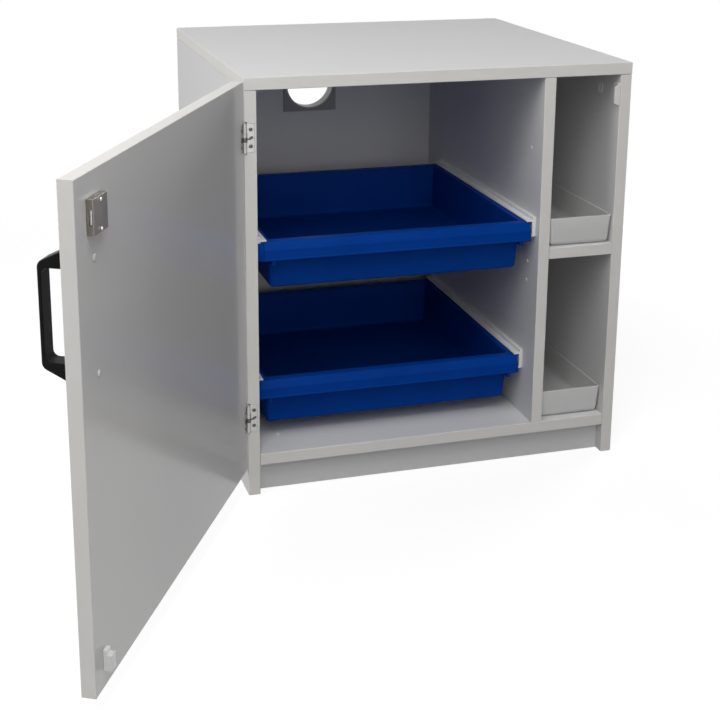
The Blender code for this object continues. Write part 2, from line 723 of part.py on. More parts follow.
def make_handle(door):
    """The bow handle outside the door, and its two screws through the door from inside."""
    along_door = DOOR_FREE_EDGE - HANDLE_REACH
    placing = frame_matrix((along_door, DOOR_OUTER, HANDLE_LEVEL), (0, -1, 0), (0, 0, 1))
    bow = prism("door_handle", handle_outline(), HANDLE_WIDTH, placing)
    handle = add_part("door_handle", bow, "black_plastic", door.parent)
    reach = BOARD + HANDLE_PROJECTION / 3
    hole = SCREW_SHANK_RADIUS + SEAT_GAP
    profile = headed_profile(HANDLE_SCREW_HEAD_RADIUS, SCREW_HEAD_HEIGHT, SCREW_SHANK_RADIUS, reach)
    for place, sign in (("low", -1), ("high", 1)):
        z = HANDLE_LEVEL + sign * HANDLE_SCREW_SPACING / 2
        placing = along((along_door, DOOR_INNER + SEAT_GAP, z), (0, 1, 0))
        turned_part(f"handle_screw_{place}", profile, placing, "white_plastic", door.parent)
        for part in (door, handle):
            cut(part, rods("handle_hole", hole, -reach - SEAT_GAP, SCREW_HEAD_HEIGHT, [placing]))


def make_lock_case(door):
    """The lock's pressed cover on the inside of the door, open towards it and slotted for the bolt."""
    low_u, high_u = LOCK_EDGE - LOCK_WIDTH, LOCK_EDGE
    low_z, high_z = LOCK_LEVEL - LOCK_HEIGHT / 2, LOCK_LEVEL + LOCK_HEIGHT / 2
    seat = DOOR_INNER + SEAT_GAP
    face = DOOR_INNER + LOCK_THICKNESS
    shell = boxes("lock_case", ((low_u, seat, low_z), (high_u, face, high_z)))
    case = add_part("lock_case", shell, "nickel", door.parent)
    wall = LOCK_WALL
    hollow_low = (low_u + wall, seat - wall, low_z + wall)
    hollow_high = (high_u - wall, face - wall, high_z - wall)
    cut(case, boxes("lock_hollow", (hollow_low, hollow_high)))
    half = BOLT_HEIGHT / 2 + BOLT_PLAY
    bolt_low = DOOR_INNER + BOLT_OFFSET - BOLT_PLAY
    bolt_high = DOOR_INNER + BOLT_OFFSET + BOLT_THICKNESS + BOLT_PLAY
    slot_low = (high_u - 2 * wall, bolt_low, LOCK_LEVEL - half)
    slot_high = (high_u + wall, bolt_high, LOCK_LEVEL + half)
    cut(case, boxes("bolt_slot", (slot_low, slot_high)))
    for place, sign in (("low", -1), ("high", 1)):
        z = LOCK_LEVEL + sign * (LOCK_HEIGHT / 2 - LOCK_SCREW_EDGE)
        placing = along((LOCK_CENTRE, face, z), (0, 1, 0))
        fit_screw(f"lock_case_screw_{place}", placing, "bright_steel", door.parent)
        cut(case, screw_hole(placing))
        cut(door, screw_hole(placing))


def make_lock_cylinder(door):
    """The fixed sleeve through the door, with a round flange outside."""
    placing = along((LOCK_CENTRE, DOOR_OUTER - SEAT_GAP, LOCK_LEVEL), (0, -1, 0))
    flange = CYLINDER_RADIUS + CYLINDER_LIP
    profile = headed_profile(flange, CYLINDER_FLANGE, CYLINDER_RADIUS, BOARD)
    cylinder = turned_part("lock_cylinder", profile, placing, "nickel", door.parent, ROUND_STEPS)
    bore = PLUG_CORE_RADIUS + SEAT_GAP
    cut(cylinder, rods("plug_bore", bore, -2 * BOARD, BOARD, [Matrix()], ROUND_STEPS))
    hole = CYLINDER_RADIUS + SEAT_GAP
    cut(door, rods("cylinder_hole", hole, -2 * BOARD, BOARD, [placing], ROUND_STEPS))


def crank_spot():
    """The crank pin's place about the plug's axis while the bolt is drawn back."""
    return -CRANK_RADIUS * sin(CRANK_SWING), CRANK_RADIUS * cos(CRANK_SWING)


def make_lock_plug(door):
    """The turning core: keyway outside, and inside a disc with the crank pin that moves the bolt."""
    face = -BOARD - CYLINDER_FLANGE - SEAT_GAP
    inward = [along((0, 0, 0), (0, 1, 0))]
    core = rods("lock_plug", PLUG_CORE_RADIUS, face, 2 * SEAT_GAP, inward, ROUND_STEPS)
    origin = (LOCK_CENTRE, DOOR_INNER, LOCK_LEVEL)
    plug = add_part("lock_plug", core, "nickel", door.parent, origin)
    disc = CRANK_RADIUS + CRANK_PIN_RADIUS + PLUG_DISC_MARGIN
    join(plug, rods("plug_disc", disc, SEAT_GAP, SEAT_GAP + PLUG_DISC, inward, ROUND_STEPS))
    crank_u, crank_z = crank_spot()
    pin = [along((crank_u, 0.0, crank_z), (0, 1, 0))]
    join(plug, rods("crank_pin", CRANK_PIN_RADIUS, 2 * SEAT_GAP, BOLT_OFFSET + BOLT_THICKNESS, pin))
    low = (-KEYWAY_WIDTH / 2, face - KEYWAY_DEPTH, -KEYWAY_HEIGHT / 2)
    high = (KEYWAY_WIDTH / 2, face + KEYWAY_DEPTH, KEYWAY_HEIGHT / 2)
    cut(plug, boxes("keyway", (low, high)))


def make_lock_bolt(door):
    """The bolt, drawn back at rest, with the upright slot that the crank pin works in."""
    front = LOCK_EDGE - BOLT_FRONT_RECESS
    low_y = DOOR_INNER + BOLT_OFFSET
    origin = (front, low_y, LOCK_LEVEL)
    crank_u, crank_z = crank_spot()
    pin_u = LOCK_CENTRE + crank_u - front
    half = CRANK_PIN_RADIUS + CRANK_PLAY
    low = (pin_u - half - BOLT_TAIL, 0.0, -BOLT_HEIGHT / 2)
    high = (0.0, BOLT_THICKNESS, BOLT_HEIGHT / 2)
    bolt = add_part("lock_bolt", boxes("lock_bolt", (low, high)), "bright_steel", door.parent, origin)
    slot_low = (pin_u - half, -BOLT_THICKNESS, crank_z - half)
    slot_high = (pin_u + half, 2 * BOLT_THICKNESS, BOLT_HEIGHT)
    cut(bolt, boxes("crank_slot", (slot_low, slot_high)))


def keeper_outline():
    """The keeper's front view: distance in from the right board, and height about the bolt."""
    foot = -BOLT_HEIGHT / 2 - KEEPER_BELOW
    crown = BOLT_HEIGHT / 2 + KEEPER_ABOVE
    return [
        (SEAT_GAP, foot),
        (KEEPER_REACH, foot + KEEPER_BOTTOM_SLOPE),
        (KEEPER_REACH, crown - KEEPER_TOP_SLOPE),
        (SEAT_GAP, crown),
    ]


def make_keeper():
    """The angle on the right board, with a sloped wing across the front that the bolt slides in behind."""
    placing = frame_matrix((INNER_RIGHT, FRONT + KEEPER_DEPTH / 2, LOCK_LEVEL), (-1, 0, 0), (0, 0, 1))
    block = prism("lock_keeper", keeper_outline(), KEEPER_DEPTH, placing)
    keeper = add_part("lock_keeper", block, "white_plastic")
    wing_back = FRONT - DOOR_GAP + BOLT_OFFSET - 2 * BOLT_PLAY
    face = INNER_RIGHT - KEEPER_REACH
    room_low = (face - KEEPER_ROOM, wing_back, LOCK_LEVEL - KEEPER_REACH - BOLT_HEIGHT)
    room_high = (face + KEEPER_ROOM, wing_back + KEEPER_DEPTH, LOCK_LEVEL + KEEPER_REACH + BOLT_HEIGHT)
    cut(keeper, boxes("bolt_room", (room_low, room_high)))


def catch_outline():
    """The catch's side view: distance in from the door, and height above its foot."""
    nub = arc((CATCH_NOSE - CATCH_NUB, CATCH_NUB), CATCH_NUB, 270, 360)
    return [(SEAT_GAP, 0.0)] + nub + [
        (CATCH_NOSE, CATCH_HEIGHT - CATCH_SHOULDER),
        (CATCH_BASE, CATCH_HEIGHT - CATCH_SHOULDER),
        (CATCH_BASE, CATCH_HEIGHT),
        (SEAT_GAP, CATCH_HEIGHT),
    ]


def make_catch(door):
    """The moulded catch low on the free side of the door."""
    along_door = DOOR_FREE_EDGE - CATCH_EDGE_INSET - CATCH_WIDTH / 2
    foot = FLOOR_LEVEL + CATCH_CLEARANCE
    placing = frame_matrix((along_door, DOOR_INNER, foot), (0, 1, 0), (0, 0, 1))
    mesh = prism("door_catch", catch_outline(), CATCH_WIDTH, placing)
    add_part("door_catch", mesh, "white_plastic", door.parent)


def make_vent(back_panel):
    """The vent: a dark plate on the back board, and an open tube through both."""
    half = VENT_PLATE / 2
    face = BACK_FACE - SEAT_GAP
    low = (VENT_X - half, face - VENT_PLATE_THICKNESS, VENT_Z - half)
    high = (VENT_X + half, face, VENT_Z + half)
    plate = add_part("vent_plate", boxes("vent_plate", (low, high)), "dark_plastic")
    mouth = along((VENT_X, face - VENT_PLATE_THICKNESS, VENT_Z), (0, 1, 0))
    length = VENT_PLATE_THICKNESS + BOARD + VENT_TAIL
    tube = rods("vent_spigot", VENT_RADIUS, 0.0, length, [mouth], ROUND_STEPS)
    spigot = add_part("vent_spigot", tube, "white_plastic")
    inner = VENT_RADIUS - VENT_WALL
    cut(spigot, rods("vent_bore", inner, -length, 2 * length, [mouth], ROUND_STEPS))
    hole = rods("vent_hole", VENT_RADIUS + SEAT_GAP, -length, 2 * length, [mouth], ROUND_STEPS)
    cut(back_panel, hole)
    cut(plate, hole.copy())


def tray_levels():
    """A tray's skin from its floor, up the inside, over the rim, round the skirt and back underneath."""
    half_x, half_y = TRAY_WIDTH / 2, TRAY_DEPTH / 2
    wall, rim = TRAY_WALL, TRAY_RIM_WIDTH
    floor = -TRAY_HEIGHT

    def body(z, grow):
        """The body's half sizes at a height, tapering with the draft."""
        lean_in = TRAY_DRAFT * (-z / TRAY_HEIGHT) - grow
        return half_x - rim - lean_in, half_y - TRAY_FRONT_RIM - lean_in, TRAY_BODY_CORNER + grow, z

    def shrunk(level, amount, z):
        return level[0] - amount, level[1] - amount, max(level[2] - amount, TRAY_INNER_CORNER), z

    fillet = TRAY_FLOOR_FILLET
    inner_foot = body(floor + wall + fillet, -wall)
    outer_foot = body(floor + fillet, 0.0)
    lean = atan2(TRAY_SLOPE_WIDTH, TRAY_SLOPE_DROP)
    # The underside of the slope runs parallel to it, one wall below.
    fold_in = TRAY_SLOPE_WIDTH + wall * tan((pi / 2 - lean) / 2)
    fold_down = TRAY_SLOPE_DROP + wall * tan(lean / 2)
    crown = (half_x - TRAY_END_SLOPE, half_y - TRAY_SLOPE_WIDTH, TRAY_CROWN_CORNER)
    skirt = (half_x, half_y, TRAY_CORNER)
    inside = (half_x - wall, half_y - wall, TRAY_INNER_CORNER)
    under_crown = (half_x - wall - TRAY_END_SLOPE, half_y - fold_in, TRAY_INNER_CORNER)
    return [
        shrunk(inner_foot, fillet, floor + wall),
        shrunk(inner_foot, fillet * 0.3, floor + wall + fillet * 0.3),
        inner_foot,
        body(0.0, -wall),
        (*crown, 0.0),
        (*skirt, -TRAY_SLOPE_DROP),
        (*skirt, -TRAY_SKIRT),
        (*inside, -TRAY_SKIRT),
        (*inside, -fold_down),
        (*under_crown, -wall),
        body(-wall, 0.0),
        outer_foot,
        shrunk(outer_foot, fillet * 0.3, floor + fillet * 0.3),
        shrunk(outer_foot, fillet, floor),
    ]


def apron_outline():
    """The plan of the lip's deeper front, a bar across the whole width with rounded front corners."""
    across = TRAY_WIDTH / 2 - TRAY_CORNER
    middle = TRAY_CORNER - TRAY_DEPTH / 2
    round_off = TRAY_CORNER + TRAY_APRON_PROUD
    back = TRAY_WALL + TRAY_APRON_PROUD - TRAY_DEPTH / 2
    left = arc((-across, middle), round_off, 180, 270)
    right = arc((across, middle), round_off, 270, 360)
    return [*left, *right, (across + round_off, back), (-across - round_off, back)]


def tray_ribs():
    """The two ribs that stiffen the lip, one at each front corner of the body."""
    front = -TRAY_DEPTH / 2
    back = front + TRAY_FRONT_RIM + TRAY_BODY_CORNER
    corners = []
    for side in (-1, 1):
        outer = side * (TRAY_WIDTH / 2 - TRAY_RIB_INSET)
        low_x, high_x = sorted((outer, outer - side * TRAY_RIB_WIDTH))
        low = (low_x, front + TRAY_WALL / 2, -TRAY_APRON - TRAY_RIB_DROP)
        corners.append((low, (high_x, back, -TRAY_SKIRT)))
    return boxes("tray_ribs", *corners)


def make_tray(name):
    """A moulded tray whose rim hangs in its runners, with a deeper lip across the front."""
    node = f"{name}_tray"
    origin = (BAY_CENTRE, tray_front(name) + TRAY_DEPTH / 2, tray_level(name))
    tray = add_part(node, ring_loft(node, tray_levels()), "blue_plastic", None, origin)
    middle = -(TRAY_APRON + TRAY_SLOPE_DROP) / 2
    placing = Matrix.Translation((0.0, 0.0, middle))
    join(tray, prism("tray_apron", apron_outline(), TRAY_APRON - TRAY_SLOPE_DROP, placing))
    join(tray, tray_ribs())


def bin_levels():
    """A drip bin's skin, from its floor up the inside, over the edge and down the outside."""
    half_x = RIGHT_BAY_WIDTH / 2 - BIN_SIDE_PLAY
    half_y = BIN_DEPTH / 2
    wall, fillet = BIN_WALL, BIN_FLOOR_FILLET

    def outside(z, inset=0.0):
        draft = BIN_DRAFT * (1 - z / BIN_HEIGHT)
        shift = draft + inset
        return half_x - shift, half_y - shift, BIN_CORNER - inset, z

    inner_foot = outside(wall + fillet, wall)
    return [
        (*[size - fillet for size in inner_foot[:2]], BIN_CORNER - wall, wall),
        inner_foot,
        outside(BIN_HEIGHT, wall),
        outside(BIN_HEIGHT),
        outside(fillet),
        (*[size - fillet for size in outside(fillet)[:2]], BIN_CORNER, 0.0),
    ]


def make_bin(name, level, setback):
    """A drip bin that stands in the right bay."""
    node = f"{name}_bin"
    origin = (
        (DIVIDER_RIGHT + INNER_RIGHT) / 2,
        FRONT + setback + BIN_DEPTH / 2,
        level + SEAT_GAP,
    )
    add_part(node, ring_loft(node, bin_levels()), "grey_plastic", None, origin)


def make_cabinet():
    """Every sub-part, from the carcass outwards."""
    axis = (LEFT, AXIS_Y, 0.0)
    frame_pivot = add_pivot("hinge_line", axis)
    door_pivot = add_pivot("door_pivot", axis, -REST_ANGLE)
    panels = make_carcass()
    make_shelf_pins(panels)
    make_cam_caps(panels)
    make_hole_plugs(panels)
    make_runners()
    make_vent(panels["back"])
    make_keeper()
    door = make_door(door_pivot)
    for name in HINGE_LEVELS:
        make_hinge(name, panels["left"], door, frame_pivot)
    make_handle(door)
    make_lock_case(door)
    make_lock_cylinder(door)
    make_lock_plug(door)
    make_lock_bolt(door)
    make_catch(door)
    for name in ("upper", "lower"):
        make_tray(name)
    make_bin("upper", SHELF_LEVEL, UPPER_BIN_SETBACK)
    make_bin("lower", FLOOR_LEVEL, LOWER_BIN_SETBACK)


make_cabinet()
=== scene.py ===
"""The dressed acid storage cabinet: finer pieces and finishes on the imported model, floor, light and camera.

Metres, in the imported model's own frame. Every piece is made where it stands at rest, with the door open.
"""

import json
from math import atan2, cos, pi, radians, sin, tan

import bmesh
import bpy
from mathutils import Euler, Matrix, Vector

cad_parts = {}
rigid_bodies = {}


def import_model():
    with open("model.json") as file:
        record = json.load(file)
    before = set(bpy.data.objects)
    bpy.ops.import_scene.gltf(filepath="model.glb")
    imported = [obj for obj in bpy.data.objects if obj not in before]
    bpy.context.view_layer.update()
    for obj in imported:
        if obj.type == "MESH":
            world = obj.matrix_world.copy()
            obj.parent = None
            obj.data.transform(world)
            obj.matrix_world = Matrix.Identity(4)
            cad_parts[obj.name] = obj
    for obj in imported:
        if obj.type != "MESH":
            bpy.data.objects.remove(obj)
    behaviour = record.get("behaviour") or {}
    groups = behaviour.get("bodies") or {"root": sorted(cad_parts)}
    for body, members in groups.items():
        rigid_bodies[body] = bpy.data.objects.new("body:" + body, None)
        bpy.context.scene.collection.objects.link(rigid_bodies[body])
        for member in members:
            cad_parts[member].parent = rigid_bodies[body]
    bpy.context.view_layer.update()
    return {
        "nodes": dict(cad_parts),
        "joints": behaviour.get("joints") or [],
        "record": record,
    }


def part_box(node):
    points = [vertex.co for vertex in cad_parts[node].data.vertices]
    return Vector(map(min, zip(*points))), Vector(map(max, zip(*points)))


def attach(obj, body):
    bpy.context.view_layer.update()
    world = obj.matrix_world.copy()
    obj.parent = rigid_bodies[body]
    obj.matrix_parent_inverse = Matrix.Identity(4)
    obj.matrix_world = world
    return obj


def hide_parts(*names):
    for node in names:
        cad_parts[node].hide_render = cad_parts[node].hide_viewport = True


for leftover in list(bpy.data.objects):
    bpy.data.objects.remove(leftover, do_unlink=True)

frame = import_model()
NODES = frame["nodes"]
NODE_SLOT = {row["node"]: row["material_slot"] for row in frame["record"]["subparts"]}
NODE_BODY = {
    node: body for body, members in frame["record"]["behaviour"]["bodies"].items() for node in members
}

# The door stands open at rest, turned about the hinge line away from its closed limit.
HINGE = next(joint for joint in frame["joints"] if joint["name"] == "door_hinge")
HINGE_LINE = Vector((HINGE["pos_m"][0], HINGE["pos_m"][1], 0.0))
DOOR_TURN = radians(-HINGE["range_deg"][0])
DOOR_NORMAL = Vector((sin(DOOR_TURN), cos(DOOR_TURN), 0.0))
DOOR_ALONG = Vector((cos(DOOR_TURN), -sin(DOOR_TURN), 0.0))

# Lengths that count as nothing: where seams are joined and levels compared, and in turned pieces
CLOSE = 1e-6
TURNED_CLOSE = 1e-7

# Edges: the angles that count as flat and as sharp, and the rounding of each kind of piece.
# An edge below the shortest length keeps its corner.
FLAT = radians(0.6)
SHARP = radians(30.0)
MOULDED_SHARP = radians(40.0)
SHELL_SHARP = radians(50.0)
BROAD_FACE = 0.995
BOARD_EDGES = {"width": 0.0008, "steps": 3, "shortest": 0.06}
RUNNER_EDGES = {"width": 0.0006, "shortest": 0.004}
LEAF_EDGES = {"width": 0.00025, "shortest": 0.003}
HANDLE_EDGES = {"width": 0.0016, "steps": 3}
CASE_EDGES = {"width": 0.0004, "shortest": 0.004}
BOLT_EDGES = {"width": 0.0007, "shortest": 0.0025}
CATCH_EDGES = {"width": 0.0009, "steps": 3, "shortest": 0.002}
VENT_EDGES = {"width": 0.0005, "shortest": 0.05}

# Moulded shells: points in each quarter round of a ring, and the least corner of a ring
CORNER_STEPS = 8
LEAST_CORNER = 0.0006

# Trays, from the crown of the rim down
TRAY_DEPTH = 0.430
TRAY_HEIGHT = 0.0765
TRAY_WALL = 0.003
TRAY_SIDE_RIM = 0.010
TRAY_FRONT_RIM = 0.018
TRAY_DRAFT = 0.005
TRAY_SKIRT = 0.020
TRAY_APRON = 0.028
TRAY_APRON_START = 0.003
TRAY_SLOPE_WIDTH = 0.006
TRAY_END_SLOPE = 0.0005
TRAY_SLOPE_DROP = 0.012
TRAY_FLOOR_BORDER = 0.030

# Corners of a tray in plan, and the rounds along its profile
TRAY_CORNER = 0.003
TRAY_INNER_CORNER = 0.001
TRAY_CROWN_CORNER = 0.002
TRAY_BODY_CORNER = 0.006
TRAY_FILLET = 0.006
TRAY_MOUTH_ROUND = 0.0016
TRAY_CROWN_ROUND = 0.0014
TRAY_SLOPE_ROUND = 0.0024
TRAY_SKIRT_ROUND = 0.0009
TRAY_FOLD_ROUND = 0.0010
TRAY_NECK_ROUND = 0.0008

# The bead along the foot of a tray's skirt
TRAY_BEAD = 0.0006
TRAY_BEAD_HEIGHT = 0.0030
TRAY_BEAD_SLOPE = 0.0008
TRAY_BEAD_ROUND = 0.0005

# The left end of a tray's lip
TRAY_EAR = 0.0085
TRAY_EAR_DEPTH = 0.0042
TRAY_EAR_TURN = 0.0022
TRAY_EAR_INSET = 0.0003
TRAY_EAR_OVERLAP = 0.0008
TRAY_EAR_DROP = 0.0005
TRAY_EAR_ROUND = 0.0005

# The ribs under a tray's lip
TRAY_RIB_WIDTH = 0.005
TRAY_RIB_DROP = 0.007
TRAY_RIB_INSET = 0.0135
TRAY_RIB_ROUND = 0.0006

# Bins, from the floor up
BIN_WALL = 0.0022
BIN_DRAFT = 0.003
BIN_CORNER = 0.005
BIN_FILLET = 0.009
BIN_EDGE_ROUND = 0.0010
BIN_FLOOR_BORDER = 0.020

# The dark link of a hinge: a sleeve about the axis with a tongue on the door's leaf
LINK_RADIUS = 0.0038
LINK_SIDES = 32
LINK_SPAN = (-0.0052, 0.0016)
LINK_ROOT = 0.002
LINK_REACH = 0.0105
LINK_TIP_DROP = 0.001
LINK_SINK = 0.0004
LINK_RISE = 0.0006
LINK_ROUND = 0.0002
LINK_SHARP = radians(60.0)
LEAF_FACE = -0.0013

# The slanting arm on a hinge's frame leaf
ARM_HALF = 0.0011
ARM_REACH = 0.0026
ARM_STEPS = 6
ARM_ROUND = 0.0003

# Turned heads and covers. The shares are of a head's radius or height.
TURN_STEPS = 28
DOME_STEPS = 6
DOME_RIM_SHARE = 0.25
STEM_SHARE = 0.45
STEM_LENGTH = 0.003
CROSS_LENGTH_SHARE = 1.15
CROSS_WIDTH_SHARE = 0.26
CROSS_LEVEL_SHARE = 0.95
CAP_RADIUS = 0.0083
CAP_HEIGHT = 0.0015
PLUG_RADIUS = 0.0034
PLUG_HEIGHT = 0.0013
SCREW_CAP_RADIUS = 0.0042
SCREW_CAP_HEIGHT = 0.0016


def add_object(name, mesh, materials):
    """A new object in the scene with the given materials."""
    piece = bpy.data.objects.new(name, mesh)
    bpy.context.scene.collection.objects.link(piece)
    mesh.materials.clear()
    for material in materials:
        mesh.materials.append(material)
    return piece


def smooth(mesh, angle=SHARP):
    """Shade a mesh smooth, up to a sharp angle."""
    mesh.shade_smooth()
    mesh.set_sharp_from_angle(angle=angle)


def weigh_normals(piece):
    """Keep flat faces flat beside their rounded edges."""
    modifier = piece.modifiers.new("weighted_normals", "WEIGHTED_NORMAL")
    modifier.keep_sharp = True
    modifier.weight = 100


def stand_for(piece, node):
    """The piece takes the place and body of a node, whose own shape is hidden."""
    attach(piece, NODE_BODY[node])
    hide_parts(node)


# Finishes

NOISE_SPAN = (0.3, 0.7)
NOISE_ROUGHNESS = 0.55
MOTTLE_DETAIL = 3.0
GRAIN_DETAIL = 4.0


def add_node(tree, kind, **inputs):
    """A shader node with some of its sockets set."""
    node = tree.nodes.new(kind)
    for name, value in inputs.items():
        node.inputs[name.replace("_", " ")].default_value = value
    return node


def map_range(tree, value, span, ends, interpolation="LINEAR"):
    """Map a value from one span to another."""
    node = add_node(
        tree, "ShaderNodeMapRange", From_Min=span[0], From_Max=span[1], To_Min=ends[0], To_Max=ends[1]
    )
    node.interpolation_type = interpolation
    tree.links.new(value, node.inputs["Value"])
    return node.outputs["Result"]


def drift(tree, where, scale, detail, stretch=None):
    """A noise between 0 and 1 over the object's own coordinates, drawn out along an axis if asked."""
    if stretch:
        mapping = add_node(tree, "ShaderNodeMapping", Scale=stretch)
        tree.links.new(where, mapping.inputs["Vector"])
        where = mapping.outputs["Vector"]
    noise = add_node(tree, "ShaderNodeTexNoise", Scale=scale, Detail=detail, Roughness=NOISE_ROUGHNESS)
    tree.links.new(where, noise.inputs["Vector"])
    return noise.outputs["Fac"]


def finish_of(name, tones, gloss, grain, relief, metallic=0.0, mottle=9.0, stretch=None, **sockets):
    """A finish whose colour drifts between two tones, with a fine grain in its gloss and relief.

    tones: the two colours; gloss: the lowest and highest roughness; grain and mottle: the scales per metre
    of the grain and of the drift; relief: the height of the grain in metres.
    """
    material = bpy.data.materials.new(name)
    material.use_nodes = True
    tree = material.node_tree
    shader = tree.nodes["Principled BSDF"]
    shader.inputs["Metallic"].default_value = metallic
    for socket, value in sockets.items():
        shader.inputs[socket.replace("_", " ")].default_value = value
    where = tree.nodes.new("ShaderNodeTexCoord").outputs["Object"]
    colour = tree.nodes.new("ShaderNodeMix")
    colour.data_type = "RGBA"
    colour.inputs["A"].default_value = (*tones[0], 1.0)
    colour.inputs["B"].default_value = (*tones[1], 1.0)
    coarse = drift(tree, where, mottle, MOTTLE_DETAIL)
    tree.links.new(map_range(tree, coarse, NOISE_SPAN, (0.0, 1.0)), colour.inputs["Factor"])
    tree.links.new(colour.outputs["Result"], shader.inputs["Base Color"])
    fine = drift(tree, where, grain, GRAIN_DETAIL, stretch)
    tree.links.new(map_range(tree, fine, NOISE_SPAN, gloss), shader.inputs["Roughness"])
    bump = add_node(tree, "ShaderNodeBump", Strength=1.0, Distance=relief)
    tree.links.new(fine, bump.inputs["Height"])
    tree.links.new(bump.outputs["Normal"], shader.inputs["Normal"])
    return material


LAMINATE = finish_of(
    "white_melamine",
    tones=((0.722, 0.720, 0.722), (0.742, 0.739, 0.740)),
    gloss=(0.34, 0.44),
    grain=900.0,
    relief=0.000012,
    mottle=3.0,
    Specular_IOR_Level=0.10,
)
# The door's melamine is the same white board as the carcass, glossier. Its warmer, slightly darker tone is a
# painted reflection of a warm floor.
DOOR_LAMINATE_PAINTED_REFLECTION = finish_of(
    "glossy_melamine_painted_reflection",
    tones=((0.690, 0.679, 0.671), (0.710, 0.699, 0.690)),
    gloss=(0.13, 0.19),
    grain=900.0,
    relief=0.000006,
    mottle=3.0,
    Specular_IOR_Level=0.21,
)
EDGING = finish_of(
    "edge_strip",
    tones=((0.755, 0.738, 0.712), (0.778, 0.762, 0.738)),
    gloss=(0.38, 0.50),
    grain=700.0,
    relief=0.000015,
    mottle=14.0,
    Specular_IOR_Level=0.25,
)
BLUE = finish_of(
    "blue_plastic",
    tones=((0.0008, 0.040, 0.270), (0.0011, 0.047, 0.305)),
    gloss=(0.30, 0.42),
    grain=1100.0,
    relief=0.000025,
    mottle=16.0,
    Specular_IOR_Level=0.03,
)
BIN_GREY = finish_of(
    "bin_plastic",
    tones=((0.625, 0.620, 0.616), (0.655, 0.650, 0.646)),
    gloss=(0.38, 0.50),
    grain=1000.0,
    relief=0.00002,
)
BLACK = finish_of(
    "handle_plastic",
    tones=((0.0080, 0.0080, 0.0088), (0.0105, 0.0105, 0.0112)),
    gloss=(0.32, 0.46),
    grain=1500.0,
    relief=0.00003,
    mottle=30.0,
    Specular_IOR_Level=0.06,
)
WHITE = finish_of(
    "white_plastic",
    tones=((0.800, 0.800, 0.795), (0.835, 0.835, 0.828)),
    gloss=(0.30, 0.42),
    grain=1400.0,
    relief=0.00001,
    mottle=40.0,
)
RUNNER_WHITE = finish_of(
    "runner_plastic",
    tones=((0.815, 0.810, 0.805), (0.840, 0.836, 0.830)),
    gloss=(0.34, 0.46),
    grain=1200.0,
    relief=0.000015,
)
VENT_WHITE = finish_of(
    "vent_plastic",
    tones=((0.400, 0.400, 0.395), (0.430, 0.430, 0.425)),
    gloss=(0.34, 0.46),
    grain=1000.0,
    relief=0.000015,
)
VENT_DARK = finish_of(
    "vent_plate_plastic",
    tones=((0.265, 0.262, 0.268), (0.295, 0.292, 0.298)),
    gloss=(0.45, 0.60),
    grain=1300.0,
    relief=0.00003,
)
NICKEL = finish_of(
    "brushed_nickel",
    tones=((0.275, 0.252, 0.224), (0.315, 0.292, 0.260)),
    gloss=(0.26, 0.40),
    grain=260.0,
    relief=0.000008,
    metallic=1.0,
    mottle=60.0,
    stretch=(8.0, 8.0, 0.6),
)
LEAF_STEEL = finish_of(
    "plated_steel",
    tones=((0.385, 0.381, 0.374), (0.430, 0.426, 0.419)),
    gloss=(0.28, 0.42),
    grain=900.0,
    relief=0.00001,
    metallic=1.0,
    mottle=90.0,
)
BRIGHT_STEEL = finish_of(
    "bright_steel",
    tones=((0.620, 0.620, 0.610), (0.690, 0.690, 0.680)),
    gloss=(0.20, 0.32),
    grain=900.0,
    relief=0.000008,
    metallic=1.0,
    mottle=120.0,
)
DARK_STEEL = finish_of(
    "dark_steel",
    tones=((0.085, 0.083, 0.080), (0.125, 0.122, 0.118)),
    gloss=(0.30, 0.45),
    grain=1100.0,
    relief=0.00001,
    metallic=1.0,
    mottle=140.0,
)

SLOT_FINISH = {
    "white_plastic": WHITE,
    "runner_plastic": RUNNER_WHITE,
    "vent_plastic": VENT_WHITE,
    "vent_plate_plastic": VENT_DARK,
    "handle_plastic": BLACK,
    "hinge_steel": LEAF_STEEL,
    "dark_steel": DARK_STEEL,
    "bright_steel": BRIGHT_STEEL,
    "lock_metal": NICKEL,
}


# Pieces that follow a node's own shape


def welded(node):
    """A node's shape with its seams joined and its flat parts in one face each."""
    bm = bmesh.new()
    bm.from_mesh(NODES[node].data)
    bmesh.ops.remove_doubles(bm, verts=bm.verts, dist=CLOSE)
    bmesh.ops.dissolve_limit(bm, angle_limit=FLAT, verts=bm.verts, edges=bm.edges)
    return bm


def round_off(bm, edges, width, steps=2, clamp=True):
    """Round some edges."""
    bmesh.ops.bevel(
        bm,
        geom=edges,
        offset=width,
        offset_type="OFFSET",
        segments=steps,
        profile=0.5,
        affect="EDGES",
        clamp_overlap=clamp,
    )


def ease(bm, width, steps=2, shortest=0.0):
    """Round off the sharp edges that are long enough."""
    edges = [
        edge
        for edge in bm.edges
        if edge.is_manifold and edge.calc_face_angle(0.0) > SHARP and edge.calc_length() >= shortest
    ]
    round_off(bm, edges, width, steps, clamp=False)
    bmesh.ops.recalc_face_normals(bm, faces=bm.faces)


def to_mesh(bm, name):
    """A mesh from a finished bmesh."""
    mesh = bpy.data.meshes.new(name)
    bm.to_mesh(mesh)
    bm.free()
    return mesh


def dress_board(node, across, facing=LAMINATE):
    """A faced board: laminate on its two broad faces, edge strip on the rest."""
    bm = welded(node)
    ease(bm, **BOARD_EDGES)
    mesh = to_mesh(bm, f"{node}_faced")
    piece = add_object(f"{node}_faced", mesh, (facing, EDGING))
    for face in mesh.polygons:
        face.material_index = 0 if abs(face.normal.dot(across)) > BROAD_FACE else 1
    smooth(mesh)
    weigh_normals(piece)
    stand_for(piece, node)


def dress_copy(node, edges, finish=None):
    """A moulded or pressed piece with its edges rounded."""
    bm = welded(node)
    ease(bm, **edges)
    mesh = to_mesh(bm, f"{node}_finished")
    piece = add_object(f"{node}_finished", mesh, (finish or SLOT_FINISH[NODE_SLOT[node]],))
    smooth(mesh, MOULDED_SHARP)
    weigh_normals(piece)
    stand_for(piece, node)


# Moulded shells


